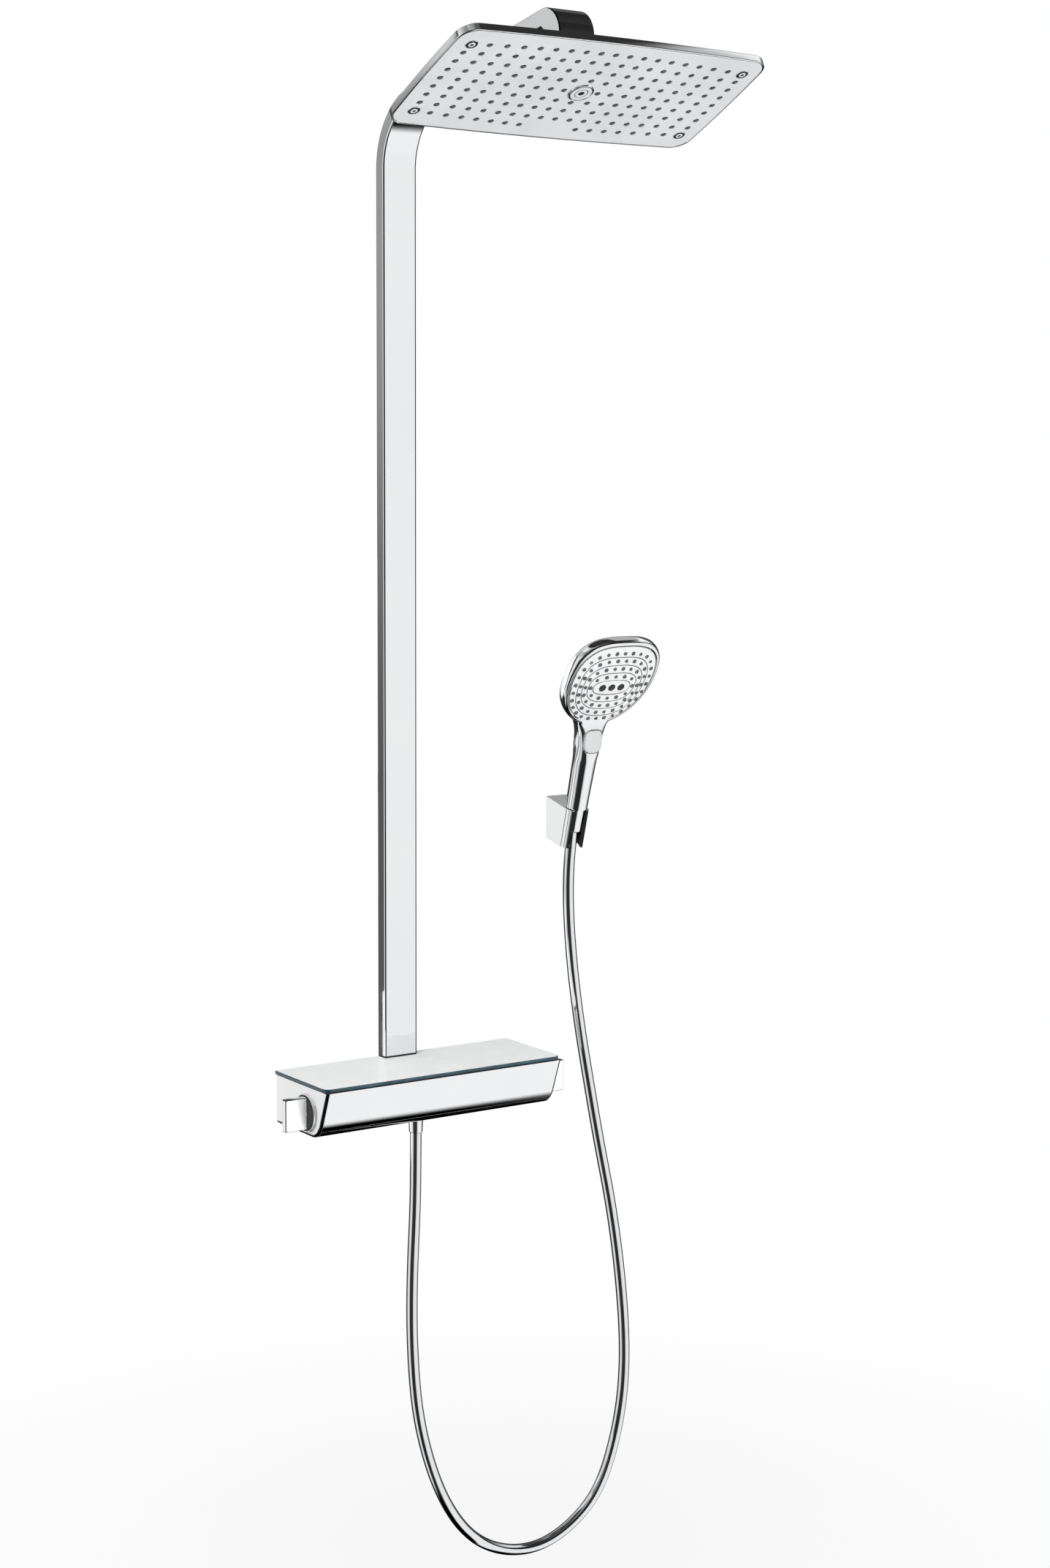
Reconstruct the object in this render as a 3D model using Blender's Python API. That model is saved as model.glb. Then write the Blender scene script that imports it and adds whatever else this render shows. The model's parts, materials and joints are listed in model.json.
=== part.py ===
"""Rainfall shower column: a shelf mixer, a bent flat column, a tilting overhead head,
a hand shower in its wall holder, and the hose between them.

Frame: the origin is the centre of the mixer's wall plate, on the wall. +X runs to the
right along the wall, +Y into the wall, +Z up. Sizes below are in millimetres.
"""
import math

import bmesh
import bpy
from mathutils import Matrix, Vector

MM = 0.001
GAP = 0.3

# ---- driving dimensions -------------------------------------------------------------
SHELF_TOP = 31.0
SHELF_W, SHELF_T = 300.0, 4.0
SHELF_BACK, SHELF_FRONT, SHELF_CORNER = -2.0, -111.5, 8.0

CASE_HALF_W = 149.6
CASE_WALL = 2.4
CASE_BACK, CASE_BOTTOM = -4.4, -26.6
CASE_TOP = SHELF_TOP - SHELF_T - GAP
END_CAP_T = 3.2
VALVE_Y, VALVE_Z = -72.5, -1.0
INLET_X, INLET_R = 75.0, 11.0
MANIFOLD_R, MANIFOLD_HALF_W, MANIFOLD_REACH = 17.0, 86.0, 15.6
CARTRIDGE_R, OUTLET_RUN = 15.0, 22.0
SUNK_RING_R, SUNK_RING_T, KNOB_R, KNOB_T = 20.6, 3.8, 18.9, 3.0
BLADE_HALF_T, BLADE_HALF_H, BLADE_RUN, STEM_R = 4.2, 17.4, 25.8, 4.2

COL_W, COL_T, COL_WALL = 41.4, 16.2, 1.8
COL_BACK = -1.5
COL_MID = COL_BACK - COL_T / 2
COL_FOOT = SHELF_TOP + 1.4
BEND_Z, BEND_R_OUT = 993.0, 79.3
ARM_RISE = math.radians(10.4)
ARM_JOIN, ARM_TIP, ARM_NOSE_R = -238.0, -343.5, 27.0
ARM_UNDER_Z = 1084.0
BRACKET_Z, BRACKET_H, BRACKET_W = 905.0, 60.0, 24.0
PIPE_R = 4.6
RISER_Y, RISER_R = -11.5, 4.0

HEAD_CENTRE = Vector((0.0, -350.2, 1035.2))
HEAD_TILT = math.radians(25.6)
HEAD_HALF_W, HEAD_HALF_D, HEAD_RIM_H = 178.0, 81.5, 8.0
HEAD_CORNER, HEAD_SIDE_STEPS = 17.0, 6
HEAD_BOW_SIDE, HEAD_BOW_FRONT = 0.012, 0.04
PLATE_INSET, PLATE_T = 3.4, 1.6
BALL_H, BALL_R = 34.0, 9.0
SEAT_T, SEAT_CLEAR = 1.65, 0.35
NECK_HOLE_R = 14.0
NOZZLE_COLS, NOZZLE_ROWS = 19, 9
NOZZLE_HALF_W, NOZZLE_HALF_D = 157.0, 55.4
NOZZLE_HOLE_R, NOZZLE_TIP_R = 2.6, 1.7
SCREW_HEAD_R, DISC_R = 5.6, 12.8
DISC_CLEAR = 50.0  # square millimetres: how strongly the grid opens up round the centre disc

HOLD_X, HOLD_HALF_W = 220.0, 14.5
GRIP_FOOT = Vector((HOLD_X, -40.1, 299.9))
GRIP_LEAN = math.radians(15.25)
HOLD_TOP_T, HOLD_BOTTOM_T = -4.4, -50.0
HOLD_BORE_R, HOLD_FLARE, HOLD_SLOT = 11.6, 0.6, math.radians(41.6)
HOLD_SCREW_Z = 282.5
FACE_CENTRE = Vector((HOLD_X, -104.4, 436.7))
FACE_TILT = math.radians(34.2)
FACE_HALF_W, FACE_HALF_H, FACE_LIFT = 56.0, 54.5, 3.0
HAND_HALF_W, HAND_HALF_H, HAND_DEPTH = 60.0, 58.5, 15.0
TAPER_START, TAPER_RUN, TAPER_SHARE = 10.0, 60.0, 0.26  # the spray head narrows below this height
NUT_TOP_T, NUT_END_T, NUT_R = -4.0, -32.0, 9.8
BUTTON_T, BUTTON_HALF_W, BUTTON_HALF_H, BUTTON_LOW, BUTTON_TOP = 80.0, 12.2, 13.0, 7.6, 13.0

HOSE_R = 6.4
OUTLET_Y = -48.0
OUTLET_NUT_TOP, OUTLET_NUT_END = CASE_BOTTOM - 1.0, -48.0
# The hose's own route, from the mixer's outlet nut round the loop to the hand shower's nut.
HOSE_ROUTE = [
    (0, -48, -48.4), (-1, -48, -130), (-5, -48, -215), (-5, -49, -298), (4, -50, -384),
    (33.6, -52, -475), (76, -52, -532.5), (126, -52, -558), (177, -52, -559.5),
    (243, -50, -522.5), (265, -49, -483), (284, -47, -420), (291, -44, -356),
    (287, -40, -267.5), (275.5, -36, -178.5), (260, -32, -98), (248, -28, -28),
    (237, -24, 41.5), (228, -21.5, 112), (222.5, -21, 180), (220.6, -24.2, 231),
    (220, -31.4, 268.4),
]
HOSE_STEP = 32.0

# ---- frames of the tilted parts -----------------------------------------------------
X_AXIS = Vector((1, 0, 0))
HEAD_DEEP = Vector((0, math.cos(HEAD_TILT), -math.sin(HEAD_TILT)))
HEAD_UP = X_AXIS.cross(HEAD_DEEP)
BALL = HEAD_CENTRE + HEAD_UP * BALL_H
GRIP_UP = Vector((0, -math.sin(GRIP_LEAN), math.cos(GRIP_LEAN)))
GRIP_OUT = Vector((0, -math.cos(GRIP_LEAN), -math.sin(GRIP_LEAN)))
FACE_UP = Vector((0, -math.sin(FACE_TILT), math.cos(FACE_TILT)))
FACE_OUT = X_AXIS.cross(FACE_UP)


# ---- scene and materials ------------------------------------------------------------
def clear_scene():
    for old in list(bpy.data.objects):
        bpy.data.objects.remove(old, do_unlink=True)


def material(name, colour, roughness, metallic, alpha=1.0):
    made = bpy.data.materials.new(name)
    made.use_nodes = True
    shader = made.node_tree.nodes["Principled BSDF"]
    shader.inputs["Base Color"].default_value = (*colour, 1.0)
    shader.inputs["Roughness"].default_value = roughness
    shader.inputs["Metallic"].default_value = metallic
    shader.inputs["Alpha"].default_value = alpha
    made.diffuse_color = (*colour, alpha)
    return made


def make_materials():
    return {
        "chrome": material("chrome", (0.86, 0.87, 0.88), 0.06, 1.0),
        "satin": material("satin_plate", (0.72, 0.73, 0.74), 0.3, 0.9),
        "glass": material("shelf_glass", (0.9, 0.95, 0.95), 0.05, 0.0),
        "silicone": material("silicone", (0.35, 0.36, 0.37), 0.55, 0.0),
        "white": material("white_plastic", (0.9, 0.9, 0.89), 0.3, 0.0),
        "brass": material("brass", (0.78, 0.62, 0.3), 0.3, 1.0),
        "black": material("black_plastic", (0.03, 0.03, 0.03), 0.45, 0.0),
        "rubber": material("black_rubber", (0.02, 0.02, 0.02), 0.8, 0.0),
        "steel": material("steel", (0.6, 0.6, 0.6), 0.3, 1.0),
        "hose": material("hose_sleeve", (0.8, 0.81, 0.82), 0.15, 0.9),
    }


# ---- mesh helpers -------------------------------------------------------------------
def place(name, bm, mat, origin=None):
    """Store bm (world millimetres) as an object whose origin sits at origin."""
    bmesh.ops.remove_doubles(bm, verts=bm.verts, dist=1e-4)
    bmesh.ops.recalc_face_normals(bm, faces=bm.faces)
    at = Vector(origin) if origin is not None else Vector((0, 0, 0))
    bmesh.ops.transform(bm, matrix=Matrix.Scale(MM, 4) @ Matrix.Translation(-at), verts=bm.verts)
    mesh = bpy.data.meshes.new(name)
    bm.to_mesh(mesh)
    bm.free()
    mesh.shade_smooth()
    mesh.set_sharp_from_angle(angle=math.radians(35))
    if mat is not None:
        mesh.materials.append(mat)
    made = bpy.data.objects.new(name, mesh)
    made.location = at * MM
    bpy.context.collection.objects.link(made)
    return made


def add_loft(bm, rings, closed=False):
    """Skin a list of equal point rings; closed joins the last ring to the first."""
    rows = [[bm.verts.new(p) for p in ring] for ring in rings]
    count = len(rows[0])
    pairs = list(zip(rows, rows[1:]))
    if closed:
        pairs.append((rows[-1], rows[0]))
    for low, high in pairs:
        for i in range(count):
            j = (i + 1) % count
            bm.faces.new((low[i], low[j], high[j], high[i]))
    if not closed:
        bm.faces.new(list(reversed(rows[0])))
        bm.faces.new(rows[-1])


def loft(name, rings, mat, origin=None, closed=False):
    bm = bmesh.new()
    add_loft(bm, rings, closed)
    return place(name, bm, mat, origin)


def prism(name, outline, start, run, mat, origin=None):
    """Extrude a ring of points by the vector run, starting at start."""
    low = [Vector(p) + Vector(start) for p in outline]
    high = [p + Vector(run) for p in low]
    return loft(name, [low, high], mat, origin)


def ring(centre, side, up, radius, count=24):
    points = []
    for i in range(count):
        angle = 2 * math.pi * i / count
        points.append(centre + side * (radius * math.cos(angle)) + up * (radius * math.sin(angle)))
    return points


def frame_of(axis):
    """Two directions square to axis."""
    axis = axis.normalized()
    side = X_AXIS if abs(axis.x) < 0.9 else Vector((0, 1, 0))
    side = (side - axis * side.dot(axis)).normalized()
    return side, axis.cross(side)


def turned(name, base, axis, profile, mat, origin=None, count=24, hollow=False):
    """Turn (radius, height) pairs about axis; hollow closes the profile into a ring."""
    axis = axis.normalized()
    side, up = frame_of(axis)
    rings = [ring(base + axis * h, side, up, r, count) for r, h in profile]
    return loft(name, rings, mat, origin, closed=hollow)


def soft_square(half_w, half_h, power, count=48):
    """Points of a soft rectangle |x/w|^p + |y/h|^p = 1, evenly spread in angle."""
    points = []
    for i in range(count):
        angle = 2 * math.pi * (i + 0.5) / count
        c, s = math.cos(angle), math.sin(angle)
        reach = (abs(c / half_w) ** power + abs(s / half_h) ** power) ** (-1 / power)
        points.append((reach * c, reach * s))
    return points


def rounded_box(half_a, half_b, radius, steps=4):
    points = []
    for k, (sa, sb) in enumerate(((1, 1), (-1, 1), (-1, -1), (1, -1))):
        for i in range(steps + 1):
            angle = math.pi / 2 * (k + i / steps)
            points.append((sa * (half_a - radius) + radius * math.cos(angle),
                           sb * (half_b - radius) + radius * math.sin(angle)))
    return points


def arc(centre, radius, start, end, steps):
    points = []
    for i in range(steps + 1):
        angle = math.radians(start + (end - start) * i / steps)
        points.append((centre[0] + radius * math.cos(angle), centre[1] + radius * math.sin(angle)))
    return points


def cut(target, cutter, operation="DIFFERENCE"):
    cutter.hide_render = True
    cutter.display_type = "WIRE"
    step = target.modifiers.new("cut", "BOOLEAN")
    step.operation = operation
    step.solver = "EXACT"
    step.object = cutter


def group(name, meshes, mat, origin=None):
    """Several closed solids in one node; each entry of meshes is a list of rings."""
    bm = bmesh.new()
    for rings in meshes:
        add_loft(bm, rings)
    return place(name, bm, mat, origin)


# ---- mixer --------------------------------------------------------------------------
def case_outline(inset):
    """Side outline of the mixer body, (y, z): flat back, sloping front, round toe."""
    toe = arc((-83.5, CASE_BOTTOM + 15.0), 15.0 - inset, 270, 194, 6)
    top = CASE_TOP - inset
    front_top = (-114.0 + inset, top)
    front_mid = (-106.2 + inset, 8.5)
    return [(CASE_BACK - inset, top), (CASE_BACK - inset, CASE_BOTTOM + inset)] + toe + [front_mid, front_top]


def build_mixer(mats):
    chrome, brass = mats["chrome"], mats["brass"]
    inner_x = CASE_HALF_W - END_CAP_T - GAP
    outer = case_outline(0.0)
    inner = case_outline(CASE_WALL)
    rings = [[Vector((x, y, z)) for y, z in line] for x, line in
             ((-inner_x, outer), (inner_x, outer), (inner_x, inner), (-inner_x, inner))]
    case = loft("mixer_casing", rings, chrome, closed=True)
    for x in (-INLET_X, INLET_X):
        cut(case, turned("cut_case_inlet", Vector((x, 6, 0)), Vector((0, -1, 0)),
                         [(INLET_R + 2.5, 0), (INLET_R + 2.5, 14)], None))
    cut(case, turned("cut_case_outlet", Vector((0, OUTLET_Y, CASE_BOTTOM - 4)), Vector((0, 0, 1)),
                     [(9.0, 0), (9.0, 9)], None))
    cut(case, turned("cut_case_riser", Vector((0, RISER_Y, CASE_TOP - 5)), Vector((0, 0, 1)),
                     [(RISER_R + 0.4, 0), (RISER_R + 0.4, 8)], None, count=16))

    for side, name in ((-1, "end_cap_left"), (1, "end_cap_right")):
        cap = prism(name, [Vector((0, y, z)) for y, z in outer],
                    (side * (CASE_HALF_W - END_CAP_T), 0, 0), (side * END_CAP_T, 0, 0), chrome)
        cut(cap, turned("cut_" + name, Vector((side * (CASE_HALF_W - 8), VALVE_Y, VALVE_Z)),
                        X_AXIS * side, [(9.0, 0), (9.0, 16)], None))

    half_w = SHELF_W / 2
    corners = [Vector((half_w, SHELF_BACK, 0)), Vector((-half_w, SHELF_BACK, 0))]
    for x, start in ((-half_w + SHELF_CORNER, 180), (half_w - SHELF_CORNER, 270)):
        corners += [Vector((px, py, 0)) for px, py in
                    arc((x, SHELF_FRONT + SHELF_CORNER), SHELF_CORNER, start, start + 90, 5)]
    shelf = prism("glass_shelf", corners, (0, 0, SHELF_TOP - SHELF_T), (0, 0, SHELF_T), mats["glass"])
    cut(shelf, turned("cut_shelf_riser", Vector((0, RISER_Y, SHELF_TOP - 8)), Vector((0, 0, 1)),
                      [(RISER_R + 0.6, 0), (RISER_R + 0.6, 12)], None, count=16))

    plate = prism("wall_plate", [Vector((x, 0, z)) for x, z in rounded_box(122, 20, 6)],
                  (0, 0, 0), (0, CASE_BACK + GAP, 0), mats["steel"])
    for x in (-INLET_X, INLET_X):
        cut(plate, turned("cut_plate_inlet", Vector((x, 6, 0)), Vector((0, -1, 0)),
                          [(INLET_R + 0.6, 0), (INLET_R + 0.6, 14)], None))

    manifold = turned("valve_manifold", Vector((-MANIFOLD_HALF_W, VALVE_Y, VALVE_Z)), X_AXIS,
                      [(MANIFOLD_R, 0), (MANIFOLD_R, 2 * MANIFOLD_HALF_W)], brass, count=20)
    rear = prism("cut_manifold_rear", [Vector((x, y, 0)) for x, y in
                                       ((-16, -64), (16, -64), (16, -8.0), (-16, -8.0))],
                 (0, 0, -MANIFOLD_REACH), (0, 0, 2 * MANIFOLD_REACH), None)
    cut(manifold, rear, "UNION")
    for x, name in ((-INLET_X, "inlet_hot"), (INLET_X, "inlet_cold")):
        turned(name, Vector((x, -0.4, 0)), Vector((0, -1, 0)),
               [(INLET_R, 0), (INLET_R, 44), (6.5, 44), (6.5, 0)], brass, hollow=True, count=20)
        turned(name.replace("inlet", "check_valve"), Vector((x, -14, 0)), Vector((0, -1, 0)),
               [(6.0, 0), (6.2, 3), (6.2, 16), (4.5, 19)], mats["white"], count=16)
        turned(name.replace("inlet", "filter_washer"), Vector((x, -45.0, 0)), Vector((0, -1, 0)),
               [(INLET_R, 0), (INLET_R, 2.2), (5.0, 2.2), (5.0, 0)], mats["rubber"], hollow=True,
               count=16)
    for side, name in ((-1, "thermostat_cartridge"), (1, "diverter_cartridge")):
        turned(name, Vector((side * (MANIFOLD_HALF_W + 0.4), VALVE_Y, VALVE_Z)), X_AXIS * side,
               [(CARTRIDGE_R, 0), (CARTRIDGE_R, 34), (12, 34), (12, 52), (STEM_R + 0.4, 52),
                (STEM_R + 0.4, 34), (3.0, 34)],
               mats["white"], count=20)

    turned("hose_outlet", Vector((0, OUTLET_Y, -MANIFOLD_REACH - GAP)), Vector((0, 0, -1)),
           [(8.4, 0), (8.4, 11.0), (6.2, 11.0), (6.2, OUTLET_RUN), (4.0, OUTLET_RUN), (4.0, 0)],
           brass, hollow=True, count=20)
    riser_low = MANIFOLD_REACH + GAP
    riser_run = COL_FOOT + 12.0 - GAP - riser_low
    turned("riser_connector", Vector((0, RISER_Y, riser_low)), Vector((0, 0, 1)),
           [(RISER_R, 0), (RISER_R, riser_run), (RISER_R - 1.2, riser_run), (RISER_R - 1.2, 0)],
           brass, hollow=True, count=16)


def build_handles(mats):
    """Two flat grips on round rings, both turning about the valve's axis."""
    for side, name in ((-1, "temperature"), (1, "diverter")):
        out = X_AXIS * side
        base = Vector((side * (CASE_HALF_W + GAP), VALVE_Y, VALVE_Z))
        lip_r, floor, hole_r = KNOB_R + GAP + 0.1, 0.6, STEM_R + 0.8
        turned(name + "_ring", base, out,
               [(SUNK_RING_R, 0), (SUNK_RING_R, SUNK_RING_T), (lip_r, SUNK_RING_T), (lip_r, floor),
                (hole_r, floor), (hole_r, 0)], mats["chrome"], hollow=True, count=32)
        start = floor + GAP
        knob = turned(name + "_handle", base + out * start, out,
                      [(KNOB_R, 0), (KNOB_R, KNOB_T - 0.4), (KNOB_R - 0.4, KNOB_T)],
                      mats["chrome"], origin=base, count=32)
        blade = [Vector((0, y, z)) for y, z in rounded_box(BLADE_HALF_T, BLADE_HALF_H, 1.2, 3)]
        cut(knob, prism("cut_" + name + "_blade", blade, base + out * (start + 2), out * BLADE_RUN, None),
            "UNION")
        cut(knob, turned("cut_" + name + "_stem", base + out * (start + 1), out * -1,
                         [(STEM_R, 0), (STEM_R, 20.4)], None), "UNION")


# ---- column and arm -----------------------------------------------------------------
def column_path():
    """Centre line of the flat column, (y, z, direction angle): up, round, out along the arm."""
    radius = BEND_R_OUT - COL_T / 2
    centre_y = COL_BACK - BEND_R_OUT
    stations = [(COL_MID, COL_FOOT, 0.0), (COL_MID, BEND_Z, 0.0)]
    turn, steps = math.pi / 2 - ARM_RISE, 12
    for i in range(1, steps + 1):
        angle = turn * i / steps
        stations.append((centre_y + radius * math.cos(angle), BEND_Z + radius * math.sin(angle), angle))
    last_y, last_z, _ = stations[-1]
    stations.append((ARM_JOIN, last_z + (last_y - ARM_JOIN) * math.tan(ARM_RISE), turn))
    return stations


def section(station, half_w, half_t, radius):
    """A rounded flat section square to the column's path at a station."""
    y, z, angle = station
    thick = Vector((0, math.cos(angle), math.sin(angle)))
    return [Vector((0, y, z)) + X_AXIS * a + thick * b
            for a, b in rounded_box(half_w, half_t, radius, 2)]


def arm_top_z(y):
    """Height of the arm's upper face at depth y."""
    turn = math.pi / 2 - ARM_RISE
    y0 = COL_BACK - BEND_R_OUT + BEND_R_OUT * math.cos(turn)
    z0 = BEND_Z + BEND_R_OUT * math.sin(turn)
    return z0 + (y0 - y) * math.tan(ARM_RISE)


def build_column(mats):
    chrome = mats["chrome"]
    path = column_path()
    outer = [section(s, COL_W / 2, COL_T / 2, 1.6) for s in path]
    inner = [section(s, COL_W / 2 - COL_WALL, COL_T / 2 - COL_WALL, 0.8) for s in path]
    column = loft("column_profile", outer + list(reversed(inner)), chrome, closed=True)
    window = [Vector((x, 0, z)) for x, z in rounded_box(BRACKET_W / 2 + 0.6, BRACKET_H / 2 + 0.6, 2)]
    cut(column, prism("cut_column_window", window, (0, 3, BRACKET_Z), (0, -6.5, 0), None))

    prism("column_foot_seal", [Vector((x, y, 0)) for x, y in
                               ((20.2, COL_BACK - 0.6), (-20.2, COL_BACK - 0.6),
                                (-20.2, COL_BACK - COL_T + 0.6), (20.2, COL_BACK - COL_T + 0.6))],
          (0, 0, SHELF_TOP + GAP), (0, 0, 0.8), mats["rubber"])
    cut(bpy.data.objects["column_foot_seal"],
        turned("cut_foot_seal", Vector((0, RISER_Y, SHELF_TOP - 1)), Vector((0, 0, 1)),
               [(RISER_R + 0.6, 0), (RISER_R + 0.6, 4)], None, count=16))

    bracket = prism("column_wall_bracket",
                    [Vector((x, 0, z)) for x, z in rounded_box(BRACKET_W / 2, BRACKET_H / 2, 1.6)],
                    (0, 0, BRACKET_Z), (0, -(3.0 - COL_BACK) + 1.0, 0), mats["steel"])
    cut(bracket, prism("cut_bracket_relief",
                       [Vector((x, 0, z)) for x, z in rounded_box(7, 12, 1.6)],
                       (0, -2.2, BRACKET_Z), (0, -6, 0), None))

    pipe = bpy.data.curves.new("water_pipe", "CURVE")
    pipe.dimensions = "3D"
    pipe.bevel_depth = PIPE_R * MM
    pipe.bevel_resolution = 2
    pipe.use_fill_caps = True
    pipe.resolution_u = 1
    pipe.render_resolution_u = 0
    points = [(COL_MID - 1.0, COL_FOOT + 12.0), (COL_MID - 1.0, BEND_Z)]
    points += [(y, z) for y, z, _ in path[3:-1:2]]
    y_end, z_end, _ = path[-1]
    points.append((y_end - 12.0 * math.cos(ARM_RISE), z_end + 12.0 * math.sin(ARM_RISE)))
    line = pipe.splines.new("POLY")
    line.points.add(len(points) - 1)
    for point, (y, z) in zip(line.points, points):
        point.co = (0, y * MM, z * MM, 1)
    pipe.materials.append(mats["brass"])
    bpy.context.collection.objects.link(bpy.data.objects.new("water_pipe", pipe))

    build_arm_end(mats, path[-1])


def build_arm_end(mats, joint_station):
    """The arm's cast end: it carries on the flat arm and turns down round the ball stud."""
    y, z, turn = joint_station
    along = Vector((0, -math.cos(ARM_RISE), math.sin(ARM_RISE)))
    thick = Vector((0, math.cos(turn), math.sin(turn)))
    seam = Vector((0, y, z)) + along * GAP
    start_top, start_low = seam + thick * (COL_T / 2), seam - thick * (COL_T / 2)
    nose = arc((ARM_TIP + ARM_NOSE_R, arm_top_z(ARM_TIP + ARM_NOSE_R) - ARM_NOSE_R + 0.4), ARM_NOSE_R,
               90, 180, 8)
    under = COL_T / math.cos(ARM_RISE)
    heel_y = ARM_TIP + 23.0
    side = [(start_top.y, start_top.z)] + nose + [
        (ARM_TIP, ARM_UNDER_Z), (heel_y, ARM_UNDER_Z),
        (heel_y + 1.5, arm_top_z(heel_y) - under - 7.0), (heel_y + 9.0, arm_top_z(heel_y + 9) - under),
        (start_low.y, start_low.z)]
    block = prism("arm_end", [Vector((0, y, z)) for y, z in side], (-COL_W / 2, 0, 0),
                  (COL_W, 0, 0), mats["chrome"])
    soften = block.modifiers.new("edge", "BEVEL")
    soften.width = 1.2 * MM
    soften.segments = 2
    soften.limit_method = "ANGLE"
    soften.angle_limit = math.radians(40)
    cut(block, turned("cut_arm_pipe", Vector((0, y, z)) - along * 4, along,
                      [(PIPE_R + 0.6, 0), (PIPE_R + 0.6, 22)], None, count=16))
    neck_top = ARM_UNDER_Z - BALL.z - GAP
    angles = [math.radians(a) for a in (-80, -60, -40, -20, 0, 20, 40, 56)]
    profile = [(BALL_R * math.cos(a), BALL_R * math.sin(a)) for a in angles]
    turned("ball_stud", BALL, Vector((0, 0, 1)), profile + [(4.6, BALL_R + 1.0), (4.6, neck_top)],
           mats["chrome"], origin=BALL, count=20)


# ---- overhead head ------------------------------------------------------------------
def head_outline(inset, height, neck_r=None):
    """The head's rounded rectangle at a height above the spray face, its sides bowed out a
    little; neck_r draws the same ring of points on a circle instead."""
    half_w, half_d = HEAD_HALF_W - inset, HEAD_HALF_D - inset
    radius = max(HEAD_CORNER - inset * 0.4, 4.0)
    corners = rounded_box(half_w, half_d, radius, 4)
    points = []
    for k, (a, b) in enumerate(corners):
        points.append((a, b))
        if k % 5 == 4:
            nxt = corners[(k + 1) % len(corners)]
            for i in range(1, HEAD_SIDE_STEPS):
                share = i / HEAD_SIDE_STEPS
                points.append((a + (nxt[0] - a) * share, b + (nxt[1] - b) * share))
    placed = []
    for a, b in points:
        if neck_r is not None:
            angle = math.atan2(b, a)
            a, b = neck_r * math.cos(angle), neck_r * math.sin(angle)
        else:
            a, b = (a * (1 - HEAD_BOW_SIDE * (b / HEAD_HALF_D) ** 2),
                    b * (1 - HEAD_BOW_FRONT * (a / HEAD_HALF_W) ** 2))
        placed.append(HEAD_CENTRE + X_AXIS * a + HEAD_DEEP * b + HEAD_UP * height)
    return placed


def nozzle_spots():
    """Nozzle centres in the head's own axes: a grid that bows out towards the middle."""
    spots = []
    for i in range(NOZZLE_COLS):
        for j in range(NOZZLE_ROWS):
            u = (i - (NOZZLE_COLS - 1) / 2) / ((NOZZLE_COLS - 1) / 2)
            v = (j - (NOZZLE_ROWS - 1) / 2) / ((NOZZLE_ROWS - 1) / 2)
            corner = abs(u) == 1 and abs(v) == 1
            blank = j == NOZZLE_ROWS - 1 and abs(i - 9) <= 1
            if corner or blank or (u == 0 and v == 0):
                continue
            a = NOZZLE_HALF_W * u * (1 + 0.013 * (1 - v * v) - 0.057 * (1 - u * u))
            b = NOZZLE_HALF_D * v * (1 + 0.123 * (1 - u * u))
            spread = 1 + DISC_CLEAR / (a * a + b * b)
            spots.append((a * spread, b * spread))
    return spots


def head_ring(a, b, height, radius, count):
    return ring(HEAD_CENTRE + X_AXIS * a + HEAD_DEEP * b + HEAD_UP * height, X_AXIS, HEAD_DEEP,
                radius, count)


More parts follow.
